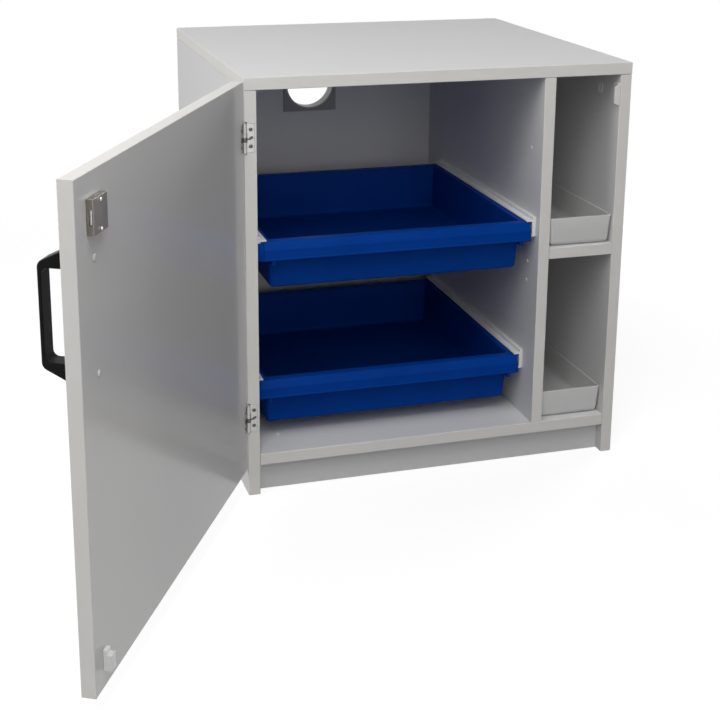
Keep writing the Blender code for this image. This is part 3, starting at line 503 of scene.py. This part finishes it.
def corner_ring(half_x, half_y, radius):
    """Points round a rounded rectangle, anticlockwise from the front of its front right corner.

    Each corner has CORNER_STEPS + 1 points, and each side has one more in its middle. The third number of a
    point is 1 on the front and back, 0 on the ends, and between them in the corners.
    """
    points = []
    run_x, run_y = half_x - radius, half_y - radius
    middles = ((half_x, 0.0, 0.0), (0.0, half_y, 1.0), (-half_x, 0.0, 0.0), (0.0, -half_y, 1.0))
    corners = ((1, -1), (1, 1), (-1, 1), (-1, -1))
    for turn, (side_x, side_y) in enumerate(corners):
        for step in range(CORNER_STEPS + 1):
            angle = pi / 2 * (turn - 1 + step / CORNER_STEPS)
            x = side_x * run_x + radius * cos(angle)
            y = side_y * run_y + radius * sin(angle)
            points.append((x, y, sin(angle) ** 2))
        points.append(middles[turn])
    return points


def shell(name, rings):
    """Skin a run of rings of equal counts, and close it with a flat face at either end."""
    bm = bmesh.new()
    rows = [[bm.verts.new(point) for point in ring] for ring in rings]
    count = len(rows[0])
    for low, high in zip(rows, rows[1:]):
        for i in range(count):
            j = (i + 1) % count
            bm.faces.new((low[i], low[j], high[j], high[i]))
    bm.faces.new(list(reversed(rows[0])))
    bm.faces.new(rows[-1])
    bmesh.ops.recalc_face_normals(bm, faces=bm.faces)
    return to_mesh(bm, name)


def fillet(corner, before, after, radius, steps):
    """Points of a round tangent to two straight runs of a profile, in (inset, height)."""
    corner, before, after = Vector(corner), Vector(before), Vector(after)
    first = (before - corner).normalized()
    last = (after - corner).normalized()
    half = first.angle(last) / 2
    reach = radius / tan(half)
    centre = corner + (first + last).normalized() * radius / sin(half)
    start, end = corner + first * reach, corner + last * reach
    low, high = start - centre, end - centre
    turn = low.angle_signed(high)
    points = []
    for step in range(steps + 1):
        spin = Matrix.Rotation(-turn * step / steps, 2)
        points.append(centre + spin @ low)
    return points


def rounded_profile(knots):
    """A profile through (inset, height, plan corner, radius, steps) knots, rounded where they have a radius.

    It gives (inset, height, plan corner) points, and the plan corner follows the inset within a round.
    """
    points = []
    for place, (inset, height, plan, radius, steps) in enumerate(knots):
        if not radius:
            points.append((inset, height, plan))
            continue
        before, after = knots[place - 1][:2], knots[place + 1][:2]
        for point in fillet((inset, height), before, after, radius, steps):
            points.append((point.x, point.y, max(plan + inset - point.x, LEAST_CORNER)))
    return points


def tray_profile(rim, slope):
    """The tray's skin from the inside of its floor, over a rim with a slope, to the underside."""
    wall, floor = TRAY_WALL, -TRAY_HEIGHT
    lean = atan2(slope, TRAY_SLOPE_DROP)
    fold_in = slope + wall * tan((pi / 2 - lean) / 2)
    fold_down = TRAY_SLOPE_DROP + wall * tan(lean / 2)
    foot = rim + TRAY_DRAFT
    inner_foot = foot + wall - TRAY_DRAFT * wall / TRAY_HEIGHT
    neck = rim - TRAY_DRAFT * wall / TRAY_HEIGHT
    inner_plan = TRAY_BODY_CORNER - wall
    bead_plan = TRAY_CORNER + TRAY_BEAD
    bead_top = -TRAY_SKIRT + TRAY_BEAD_HEIGHT
    return rounded_profile(
        [
            (inner_foot + TRAY_FLOOR_BORDER, floor + wall, LEAST_CORNER, 0, 0),
            (inner_foot, floor + wall, inner_plan, TRAY_FILLET, 6),
            (rim + wall, 0.0, inner_plan, TRAY_MOUTH_ROUND, 5),
            (slope, 0.0, TRAY_CROWN_CORNER, TRAY_CROWN_ROUND, 4),
            (0.0, -TRAY_SLOPE_DROP, TRAY_CORNER, TRAY_SLOPE_ROUND, 4),
            (0.0, bead_top, TRAY_CORNER, TRAY_BEAD_ROUND, 2),
            (-TRAY_BEAD, bead_top - TRAY_BEAD_SLOPE, bead_plan, TRAY_BEAD_ROUND, 2),
            (-TRAY_BEAD, -TRAY_SKIRT, bead_plan, TRAY_SKIRT_ROUND, 3),
            (wall, -TRAY_SKIRT, TRAY_INNER_CORNER, TRAY_SKIRT_ROUND, 3),
            (wall, -fold_down, TRAY_INNER_CORNER, TRAY_FOLD_ROUND, 2),
            (fold_in, -wall, TRAY_INNER_CORNER, TRAY_FOLD_ROUND, 2),
            (neck, -wall, TRAY_BODY_CORNER, TRAY_NECK_ROUND, 2),
            (foot, floor, TRAY_BODY_CORNER, TRAY_FILLET, 6),
            (foot + TRAY_FLOOR_BORDER, floor, LEAST_CORNER, 0, 0),
        ]
    )


def on_front(place):
    """Whether a ring's point lies on the front or on the first half of either front corner."""
    corner = CORNER_STEPS + 2
    right = place <= CORNER_STEPS // 2
    left = place >= 3 * corner + CORNER_STEPS // 2
    return right or left


def unite(piece, *shapes):
    """Join other shapes to a piece, so that it stays one closed skin."""
    for shape in shapes:
        bpy.context.scene.collection.objects.link(shape)
        modifier = piece.modifiers.new("unite", "BOOLEAN")
        modifier.operation = "UNION"
        modifier.solver = "EXACT"
        modifier.object = shape
    bpy.context.view_layer.update()
    made = bpy.data.meshes.new_from_object(piece.evaluated_get(bpy.context.evaluated_depsgraph_get()))
    piece.modifiers.clear()
    piece.data = made
    for shape in shapes:
        bpy.data.objects.remove(shape, do_unlink=True)


def add_box(bm, centre, size):
    """A plain box in a bmesh."""
    made = bmesh.ops.create_cube(bm, size=1.0)["verts"]
    bmesh.ops.scale(bm, vec=size, verts=made)
    bmesh.ops.translate(bm, vec=centre, verts=made)


def box_shape(name, low, high, width):
    """A box between two corners with rounded edges."""
    bm = bmesh.new()
    add_box(bm, (low + high) / 2, high - low)
    round_off(bm, bm.edges, width)
    return bpy.data.objects.new(name, to_mesh(bm, name))


def tray_rings(centre, half_x, half_y):
    """The rings of a tray's skin. The lip hangs lower across the front."""
    ends = tray_profile(TRAY_SIDE_RIM, TRAY_END_SLOPE)
    fronts = tray_profile(TRAY_FRONT_RIM, TRAY_SLOPE_WIDTH)
    rings = []
    for (inset_x, height_x, _), (inset_y, height_y, plan) in zip(ends, fronts):
        hangs = inset_y <= TRAY_WALL + CLOSE and height_y < -TRAY_SLOPE_DROP - TRAY_APRON_START
        ring = []
        for place, (x, y, share) in enumerate(corner_ring(half_x - inset_x, half_y - inset_y, plan)):
            drop = TRAY_APRON - TRAY_SKIRT if hangs and on_front(place) else 0.0
            height = height_x + (height_y - height_x) * share - drop
            ring.append(centre + Vector((x, y, height)))
        rings.append(ring)
    return rings


def lip_end(node, centre, half_x, half_y):
    """The left end of a tray's lip, turned back a little in front of the runner."""
    foot = -TRAY_APRON + TRAY_EAR_INSET
    outline = (
        (TRAY_EAR_INSET, foot),
        (TRAY_EAR_INSET, -TRAY_SLOPE_DROP),
        (TRAY_EAR_DEPTH, -TRAY_EAR_DROP),
        (TRAY_EAR_DEPTH, foot),
    )
    bm = bmesh.new()
    ends = []
    for along, turn in ((TRAY_EAR_OVERLAP - half_x, 0.0), (-half_x - TRAY_EAR, TRAY_EAR_TURN)):
        points = [(along, min(back + turn, TRAY_EAR_DEPTH) - half_y, up) for back, up in outline]
        ends.append([bm.verts.new(centre + Vector(point)) for point in points])
    for first in range(4):
        second = (first + 1) % 4
        bm.faces.new((ends[0][first], ends[0][second], ends[1][second], ends[1][first]))
    for end in ends:
        bm.faces.new(end)
    bmesh.ops.recalc_face_normals(bm, faces=bm.faces)
    ease(bm, TRAY_EAR_ROUND)
    return bpy.data.objects.new(f"{node}_lip_end", to_mesh(bm, f"{node}_lip_end"))


def tray_rib(node, side, centre, half_x, half_y):
    """The rib under one end of a tray's lip."""
    outer = side * (half_x - TRAY_RIB_INSET)
    low_x, high_x = sorted((outer, outer - side * TRAY_RIB_WIDTH))
    foot = centre + Vector((low_x, TRAY_WALL / 2 - half_y, -TRAY_APRON - TRAY_RIB_DROP))
    top = centre + Vector((high_x, TRAY_FRONT_RIM + TRAY_BODY_CORNER - half_y, -TRAY_SKIRT))
    return box_shape(f"{node}_rib", foot, top, TRAY_RIB_ROUND)


def dress_tray(node):
    """A moulded tray with a sloped rim, a deeper lip across the front and a rib at each end of it."""
    low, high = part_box(node)
    half_x, half_y = (high.x - low.x) / 2 - TRAY_BEAD, TRAY_DEPTH / 2
    centre = Vector(((low.x + high.x) / 2, high.y - half_y, high.z))
    rings = tray_rings(centre, half_x, half_y)
    piece = add_object(f"{node}_moulded", shell(f"{node}_moulded", rings), (BLUE,))
    ribs = [tray_rib(node, side, centre, half_x, half_y) for side in (-1, 1)]
    unite(piece, lip_end(node, centre, half_x, half_y), *ribs)
    smooth(piece.data, SHELL_SHARP)
    stand_for(piece, node)


def dress_bin(node):
    """A plain moulded bin with a rounded edge."""
    low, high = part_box(node)
    centre = (low + high) / 2
    tall = high.z - low.z
    half_x, half_y = (high.x - low.x) / 2, (high.y - low.y) / 2
    wall = BIN_WALL
    inner_foot = BIN_DRAFT * (1 - wall / tall) + wall
    inner_plan = BIN_CORNER - wall
    profile = rounded_profile(
        [
            (inner_foot + BIN_FLOOR_BORDER, wall, LEAST_CORNER, 0, 0),
            (inner_foot, wall, inner_plan, BIN_FILLET, 6),
            (wall, tall, inner_plan, BIN_EDGE_ROUND, 4),
            (0.0, tall, BIN_CORNER, BIN_EDGE_ROUND, 4),
            (BIN_DRAFT, 0.0, BIN_CORNER, BIN_FILLET, 6),
            (BIN_DRAFT + BIN_FLOOR_BORDER, 0.0, LEAST_CORNER, 0, 0),
        ]
    )
    rings = []
    for inset, height, plan in profile:
        ring = corner_ring(half_x - inset, half_y - inset, plan)
        rings.append([Vector((centre.x + x, centre.y + y, low.z + height)) for x, y, _ in ring])
    mesh = shell(f"{node}_moulded", rings)
    piece = add_object(f"{node}_moulded", mesh, (BIN_GREY,))
    smooth(mesh, SHELL_SHARP)
    stand_for(piece, node)


# Hinges


def on_door(along, out, height):
    """A point given along the open door from the hinge line, and out from its line of turning."""
    hinge = HINGE_LINE + Vector((0.0, 0.0, height))
    return hinge + DOOR_ALONG * along + DOOR_NORMAL * out


def dress_link(level):
    """The dark link round a hinge's barrel, with a tongue on the door's leaf."""
    low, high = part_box(f"{level}_hinge_frame_leaf")
    middle = (low.z + high.z) / 2
    foot, crown = (middle + end for end in LINK_SPAN)
    bm = bmesh.new()
    made = bmesh.ops.create_cone(
        bm, cap_ends=True, segments=LINK_SIDES, radius1=LINK_RADIUS, radius2=LINK_RADIUS, depth=crown - foot
    )["verts"]
    bmesh.ops.translate(bm, vec=on_door(0.0, 0.0, (foot + crown) / 2), verts=made)
    outline = (
        (LINK_ROOT, foot),
        (LINK_REACH, foot),
        (LINK_REACH, crown - LINK_TIP_DROP),
        (LINK_ROOT, crown),
    )
    tongue = [
        bm.verts.new(on_door(along, LEAF_FACE + out, height))
        for out in (-LINK_SINK, LINK_RISE)
        for along, height in outline
    ]
    for corners in ((0, 1, 2, 3), (4, 7, 6, 5), (0, 4, 5, 1), (1, 5, 6, 2), (2, 6, 7, 3), (3, 7, 4, 0)):
        bm.faces.new([tongue[corner] for corner in corners])
    bmesh.ops.recalc_face_normals(bm, faces=bm.faces)
    round_off(bm, [edge for edge in bm.edges if edge.calc_face_angle(0.0) > LINK_SHARP], LINK_ROUND)
    mesh = to_mesh(bm, f"{level}_hinge_sleeve")
    piece = add_object(f"{level}_hinge_sleeve", mesh, (DARK_STEEL,))
    smooth(mesh)
    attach(piece, "door")


def dress_arm(level):
    """The slanting arm on a hinge's frame leaf, reaching to the link."""
    node = f"{level}_hinge_link"
    low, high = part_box(node)
    top = Vector((high.x - ARM_HALF, low.y, high.z - ARM_HALF))
    foot = Vector((low.x - ARM_REACH, low.y, low.z))
    lean = atan2(top.z - foot.z, top.x - foot.x)
    bm = bmesh.new()
    outline = []
    for end, turn in ((top, 0.0), (foot, pi)):
        for step in range(ARM_STEPS + 1):
            angle = lean + turn - pi / 2 + pi * step / ARM_STEPS
            outline.append(bm.verts.new(end + Vector((cos(angle), 0.0, sin(angle))) * ARM_HALF))
    face = bm.faces.new(outline)
    made = bmesh.ops.extrude_face_region(bm, geom=[face])["geom"]
    moved = [item for item in made if isinstance(item, bmesh.types.BMVert)]
    bmesh.ops.translate(bm, vec=(0.0, high.y - low.y, 0.0), verts=moved)
    bmesh.ops.recalc_face_normals(bm, faces=bm.faces)
    ease(bm, ARM_ROUND)
    mesh = to_mesh(bm, f"{level}_hinge_arm")
    piece = add_object(f"{level}_hinge_arm", mesh, (DARK_STEEL,))
    smooth(mesh)
    stand_for(piece, node)


# Turned pieces


def dome_profile(radius, height):
    """The half profile of a domed head, from its top to its rim."""
    profile = [(0.0, height)]
    for step in range(1, DOME_STEPS + 1):
        angle = pi / 2 * step / DOME_STEPS
        rise = DOME_RIM_SHARE + (1 - DOME_RIM_SHARE) * cos(angle)
        profile.append((radius * sin(angle), height * rise))
    return profile


def dish_profile(radius, height):
    """The half profile of a cover that is hollowed inside its rim, in shares of its radius and height."""
    shares = ((0.0, 0.15), (0.62, 0.15), (0.82, 0.97), (0.86, 1.0), (0.95, 1.0), (1.0, 0.70))
    return [(radius * across, height * up) for across, up in shares]


def turned(profile, radius, shank, length):
    """A head with the given half profile on a shank, the head's foot at the origin and the axis along +Z."""
    profile = profile + [(radius, 0.0), (shank, 0.0), (shank, -length), (0.0, -length)]
    bm = bmesh.new()
    verts = [bm.verts.new((r, 0.0, z)) for r, z in profile]
    edges = [bm.edges.new(pair) for pair in zip(verts, verts[1:])]
    bmesh.ops.spin(
        bm,
        geom=verts + edges,
        cent=(0, 0, 0),
        axis=(0, 0, 1),
        angle=2 * pi,
        steps=TURN_STEPS,
        use_merge=True,
    )
    bmesh.ops.remove_doubles(bm, verts=bm.verts, dist=TURNED_CLOSE)
    bmesh.ops.recalc_face_normals(bm, faces=bm.faces)
    return bm


def cover(name, profile, radius):
    """A cover or plug with a short stem."""
    mesh = to_mesh(turned(profile, radius, radius * STEM_SHARE, STEM_LENGTH), name)
    smooth(mesh, MOULDED_SHARP)
    return mesh


def cross_screw(name, radius, height, shank, length):
    """A domed screw with a cross recess."""
    head = turned(dome_profile(radius, height), radius, shank, length)
    body = bpy.data.objects.new(name, to_mesh(head, name))
    bm = bmesh.new()
    wide, narrow = radius * CROSS_LENGTH_SHARE, radius * CROSS_WIDTH_SHARE
    for size in ((wide, narrow, height), (narrow, wide, height)):
        add_box(bm, (0.0, 0.0, height * CROSS_LEVEL_SHARE), size)
    cutter = bpy.data.objects.new(f"{name}_cross", to_mesh(bm, f"{name}_cross"))
    for item in (body, cutter):
        bpy.context.scene.collection.objects.link(item)
    modifier = body.modifiers.new("cross", "BOOLEAN")
    modifier.object = cutter
    modifier.solver = "EXACT"
    modifier.use_self = True
    bpy.context.view_layer.update()
    mesh = bpy.data.meshes.new_from_object(body.evaluated_get(bpy.context.evaluated_depsgraph_get()))
    for item in (body, cutter):
        bpy.data.objects.remove(item, do_unlink=True)
    smooth(mesh, MOULDED_SHARP)
    return mesh


def axis_of(node, direction):
    """A turned node's axis, the middle of its section, and the place of its crown along the axis."""
    axis = Vector(direction).normalized()
    side = axis.orthogonal().normalized()
    other = axis.cross(side)
    spans = []
    for way in (axis, side, other):
        reaches = [vertex.co.dot(way) for vertex in NODES[node].data.vertices]
        spans.append((min(reaches), max(reaches)))
    middle = side * sum(spans[1]) / 2 + other * sum(spans[2]) / 2
    return axis, middle, spans[0][1]


def dress_turned(node, direction, mesh_of, finish=None):
    """A turned piece in place of a node, with its crown at the node's own."""
    axis, middle, crown = axis_of(node, direction)
    turn = axis.to_track_quat("Z", "Y").to_matrix().to_4x4()
    mesh = mesh_of.copy()
    top = max(vertex.co.z for vertex in mesh.vertices)
    mesh.transform(Matrix.Translation(middle + axis * (crown - top)) @ turn)
    piece = add_object(f"{node}_turned", mesh, (finish or SLOT_FINISH[NODE_SLOT[node]],))
    stand_for(piece, node)


# The dressed cabinet

ACROSS = {
    "top_panel": (0, 0, 1),
    "bottom_panel": (0, 0, 1),
    "bay_shelf": (0, 0, 1),
    "left_side_panel": (1, 0, 0),
    "right_side_panel": (1, 0, 0),
    "divider_panel": (1, 0, 0),
    "back_panel": (0, 1, 0),
    "plinth_board": (0, 1, 0),
}
for board, across in ACROSS.items():
    dress_board(board, Vector(across))
dress_board("door_panel", DOOR_NORMAL, DOOR_LAMINATE_PAINTED_REFLECTION)

for level in ("upper", "lower"):
    dress_tray(f"{level}_tray")
    dress_bin(f"{level}_bin")
    for side in ("left", "right"):
        dress_copy(f"{level}_{side}_runner", RUNNER_EDGES)
    for leaf in ("frame_leaf", "door_leaf"):
        dress_copy(f"{level}_hinge_{leaf}", LEAF_EDGES)
    dress_link(level)
    dress_arm(level)

dress_copy("door_handle", HANDLE_EDGES)
dress_copy("lock_case", CASE_EDGES)
dress_copy("lock_bolt", BOLT_EDGES)
dress_copy("lock_keeper", LEAF_EDGES, EDGING)
dress_copy("door_catch", CATCH_EDGES)
dress_copy("vent_plate", VENT_EDGES)

HINGE_SCREW = cross_screw("hinge_screw", radius=0.0026, height=0.0016, shank=0.0015, length=0.010)
CASE_SCREW = cross_screw("case_screw", radius=0.0021, height=0.0013, shank=0.0012, length=0.010)
for level in ("upper", "lower"):
    for place in ("low", "high"):
        dress_turned(f"{level}_hinge_frame_screw_{place}", (0, -1, 0), HINGE_SCREW)
        dress_turned(f"{level}_hinge_door_screw_{place}", DOOR_NORMAL, HINGE_SCREW)
SCREW_CAP = cover("screw_cap", dome_profile(SCREW_CAP_RADIUS, SCREW_CAP_HEIGHT), SCREW_CAP_RADIUS)
for place in ("low", "high"):
    dress_turned(f"lock_case_screw_{place}", DOOR_NORMAL, CASE_SCREW)
    # The handle's screw covers take the door's tone, painted reflection included.
    dress_turned(f"handle_screw_{place}", DOOR_NORMAL, SCREW_CAP, DOOR_LAMINATE_PAINTED_REFLECTION)

DISH = cover("dished_cap", dish_profile(CAP_RADIUS, CAP_HEIGHT), CAP_RADIUS)
PLUG = cover("domed_plug", dome_profile(PLUG_RADIUS, PLUG_HEIGHT), PLUG_RADIUS)
for place in ("front", "back"):
    dress_turned(f"cam_cap_left_{place}", (1, 0, 0), DISH)
    dress_turned(f"cam_cap_right_{place}", (-1, 0, 0), DISH)
    dress_turned(f"cam_cap_bottom_{place}", (0, 0, 1), PLUG)
for place in ("low", "middle", "high"):
    dress_turned(f"hole_plug_{place}", (-1, 0, 0), PLUG)

# Nodes that show their own shape
NODE_FINISH = {"upper_hinge_pin": LEAF_STEEL, "lower_hinge_pin": LEAF_STEEL}
for node, item in NODES.items():
    if item.hide_render:
        continue
    item.data.materials.clear()
    item.data.materials.append(NODE_FINISH.get(node, SLOT_FINISH[NODE_SLOT[node]]))


# Floor, light and camera

FLOOR_RADIUS = 5.0
FLOOR_SIDES = 96
FLOOR_FADE = (0.9, 2.2)
FLOOR_TONE = 0.35
FLOOR_GLOW = 0.78
WHITE_LIGHT = (1.0, 1.0, 1.0, 1.0)
AMBIENT = 0.05
AMBIENT_BELOW = 0.005
AMBIENT_RISE = (-0.1, 0.5)
AIM = (0.0, 0.15, 0.37)
LAMPS = {
    "key": {"place": (-0.9, -1.9, 1.75), "size": 1.1, "watts": 9.5},
    "key_above": {"place": (-0.6, -1.3, 2.5), "size": 1.2, "watts": 12.5},
    "above": {"place": (-0.3, -0.9, 2.3), "size": 1.4, "watts": 11.5},
    "left": {"place": (-2.4, -0.2, 1.3), "size": 1.2, "watts": 26.0},
    "left_behind": {"place": (-1.6, 0.9, 2.2), "size": 1.2, "watts": 5.0},
    "front": {"place": (0.6, -2.6, 1.6), "size": 1.4, "watts": 4.5},
    "front_low": {"place": (0.1, -3.0, 0.8), "size": 1.4, "watts": 10.0},
    "right": {"place": (2.3, 1.3, 0.8), "size": 1.0, "watts": 26.0},
    "behind": {"place": (0.1, 2.6, 0.3), "size": 0.6, "watts": 12.0},
}
CAMERA_PLACE = (-0.7095, -1.9338, 0.9607)
CAMERA_PITCH = 0.2628
CAMERA_ROLL = 0.0085
CAMERA_AZIMUTH = 0.2956
CAMERA_LENS = 70.507
CAMERA_SENSOR = 36.0
CAMERA_SHIFT = -0.20


def seen_rays(tree):
    """1 for rays that show the surface, straight or in a reflection, and 0 for rays that carry its light."""
    path = tree.nodes.new("ShaderNodeLightPath")
    total = path.outputs["Is Camera Ray"]
    for name in ("Is Glossy Ray", "Is Transmission Ray"):
        add = tree.nodes.new("ShaderNodeMath")
        add.operation = "ADD"
        add.use_clamp = True
        tree.links.new(total, add.inputs[0])
        tree.links.new(path.outputs[name], add.inputs[1])
        total = add.outputs["Value"]
    return total


def mix_shaders(tree, share, first, second):
    """A blend of two shaders, all of the second where the share is 1."""
    mix = tree.nodes.new("ShaderNodeMixShader")
    tree.links.new(share, mix.inputs["Fac"])
    tree.links.new(first, mix.inputs[1])
    tree.links.new(second, mix.inputs[2])
    return mix.outputs["Shader"]


def floor_surface(tree):
    """A pale matt surface that also glows where it is seen."""
    diffuse = add_node(tree, "ShaderNodeBsdfDiffuse", Color=(FLOOR_TONE, FLOOR_TONE, FLOOR_TONE, 1.0))
    glow = add_node(tree, "ShaderNodeEmission", Color=WHITE_LIGHT)
    strength = tree.nodes.new("ShaderNodeMath")
    strength.operation = "MULTIPLY"
    strength.inputs[1].default_value = FLOOR_GLOW
    tree.links.new(seen_rays(tree), strength.inputs[0])
    tree.links.new(strength.outputs["Value"], glow.inputs["Strength"])
    lit = tree.nodes.new("ShaderNodeAddShader")
    tree.links.new(diffuse.outputs["BSDF"], lit.inputs[0])
    tree.links.new(glow.outputs["Emission"], lit.inputs[1])
    return lit.outputs["Shader"]


def make_floor():
    """A pale floor that fades out into the white around it."""
    bm = bmesh.new()
    bmesh.ops.create_circle(bm, cap_ends=True, segments=FLOOR_SIDES, radius=FLOOR_RADIUS)
    material = bpy.data.materials.new("pale_floor")
    material.use_nodes = True
    tree = material.node_tree
    tree.nodes.remove(tree.nodes["Principled BSDF"])
    clear = tree.nodes.new("ShaderNodeBsdfTransparent")
    where = tree.nodes.new("ShaderNodeTexCoord")
    length = tree.nodes.new("ShaderNodeVectorMath")
    length.operation = "LENGTH"
    tree.links.new(where.outputs["Object"], length.inputs[0])
    fade = map_range(tree, length.outputs["Value"], FLOOR_FADE, (0.0, 1.0), "SMOOTHSTEP")
    surface = mix_shaders(tree, fade, floor_surface(tree), clear.outputs["BSDF"])
    tree.links.new(surface, tree.nodes["Material Output"].inputs["Surface"])
    floor = add_object("floor", to_mesh(bm, "floor"), (material,))


def make_world():
    """Soft light from above, seen as plain white."""
    world = bpy.data.worlds.new("studio")
    bpy.context.scene.world = world
    world.use_nodes = True
    tree = world.node_tree
    tree.nodes.clear()
    way = tree.nodes.new("ShaderNodeSeparateXYZ")
    tree.links.new(tree.nodes.new("ShaderNodeTexCoord").outputs["Generated"], way.inputs["Vector"])
    rise = map_range(tree, way.outputs["Z"], AMBIENT_RISE, (AMBIENT_BELOW, AMBIENT), "SMOOTHSTEP")
    ambient = add_node(tree, "ShaderNodeBackground", Color=WHITE_LIGHT)
    tree.links.new(rise, ambient.inputs["Strength"])
    white = add_node(tree, "ShaderNodeBackground", Color=WHITE_LIGHT, Strength=1.0)
    surface = mix_shaders(tree, seen_rays(tree), ambient.outputs["Background"], white.outputs["Background"])
    out = tree.nodes.new("ShaderNodeOutputWorld")
    tree.links.new(surface, out.inputs["Surface"])


def make_lamp(name, place, size, watts):
    """A square soft box turned to the middle of the cabinet."""
    lamp = bpy.data.lights.new(name, "AREA")
    lamp.shape = "SQUARE"
    lamp.size = size
    lamp.energy = watts
    item = bpy.data.objects.new(name, lamp)
    item.location = place
    item.rotation_euler = (Vector(AIM) - Vector(place)).to_track_quat("-Z", "Y").to_euler()
    bpy.context.scene.collection.objects.link(item)


def make_camera():
    """A camera at the photograph's viewing angle."""
    camera = bpy.data.cameras.new("camera")
    camera.sensor_fit = "HORIZONTAL"
    camera.sensor_width = CAMERA_SENSOR
    camera.lens = CAMERA_LENS
    camera.shift_y = CAMERA_SHIFT
    item = bpy.data.objects.new("camera", camera)
    turn = Euler((pi / 2 - CAMERA_PITCH, 0.0, -CAMERA_AZIMUTH)).to_matrix()
    turn = turn @ Matrix.Rotation(CAMERA_ROLL, 3, "Z")
    item.matrix_world = Matrix.Translation(CAMERA_PLACE) @ turn.to_4x4()
    bpy.context.scene.collection.objects.link(item)
    bpy.context.scene.camera = item


make_floor()
make_world()
for name, lamp in LAMPS.items():
    make_lamp(name, **lamp)
make_camera()
bpy.context.scene.view_settings.view_transform = "Standard"
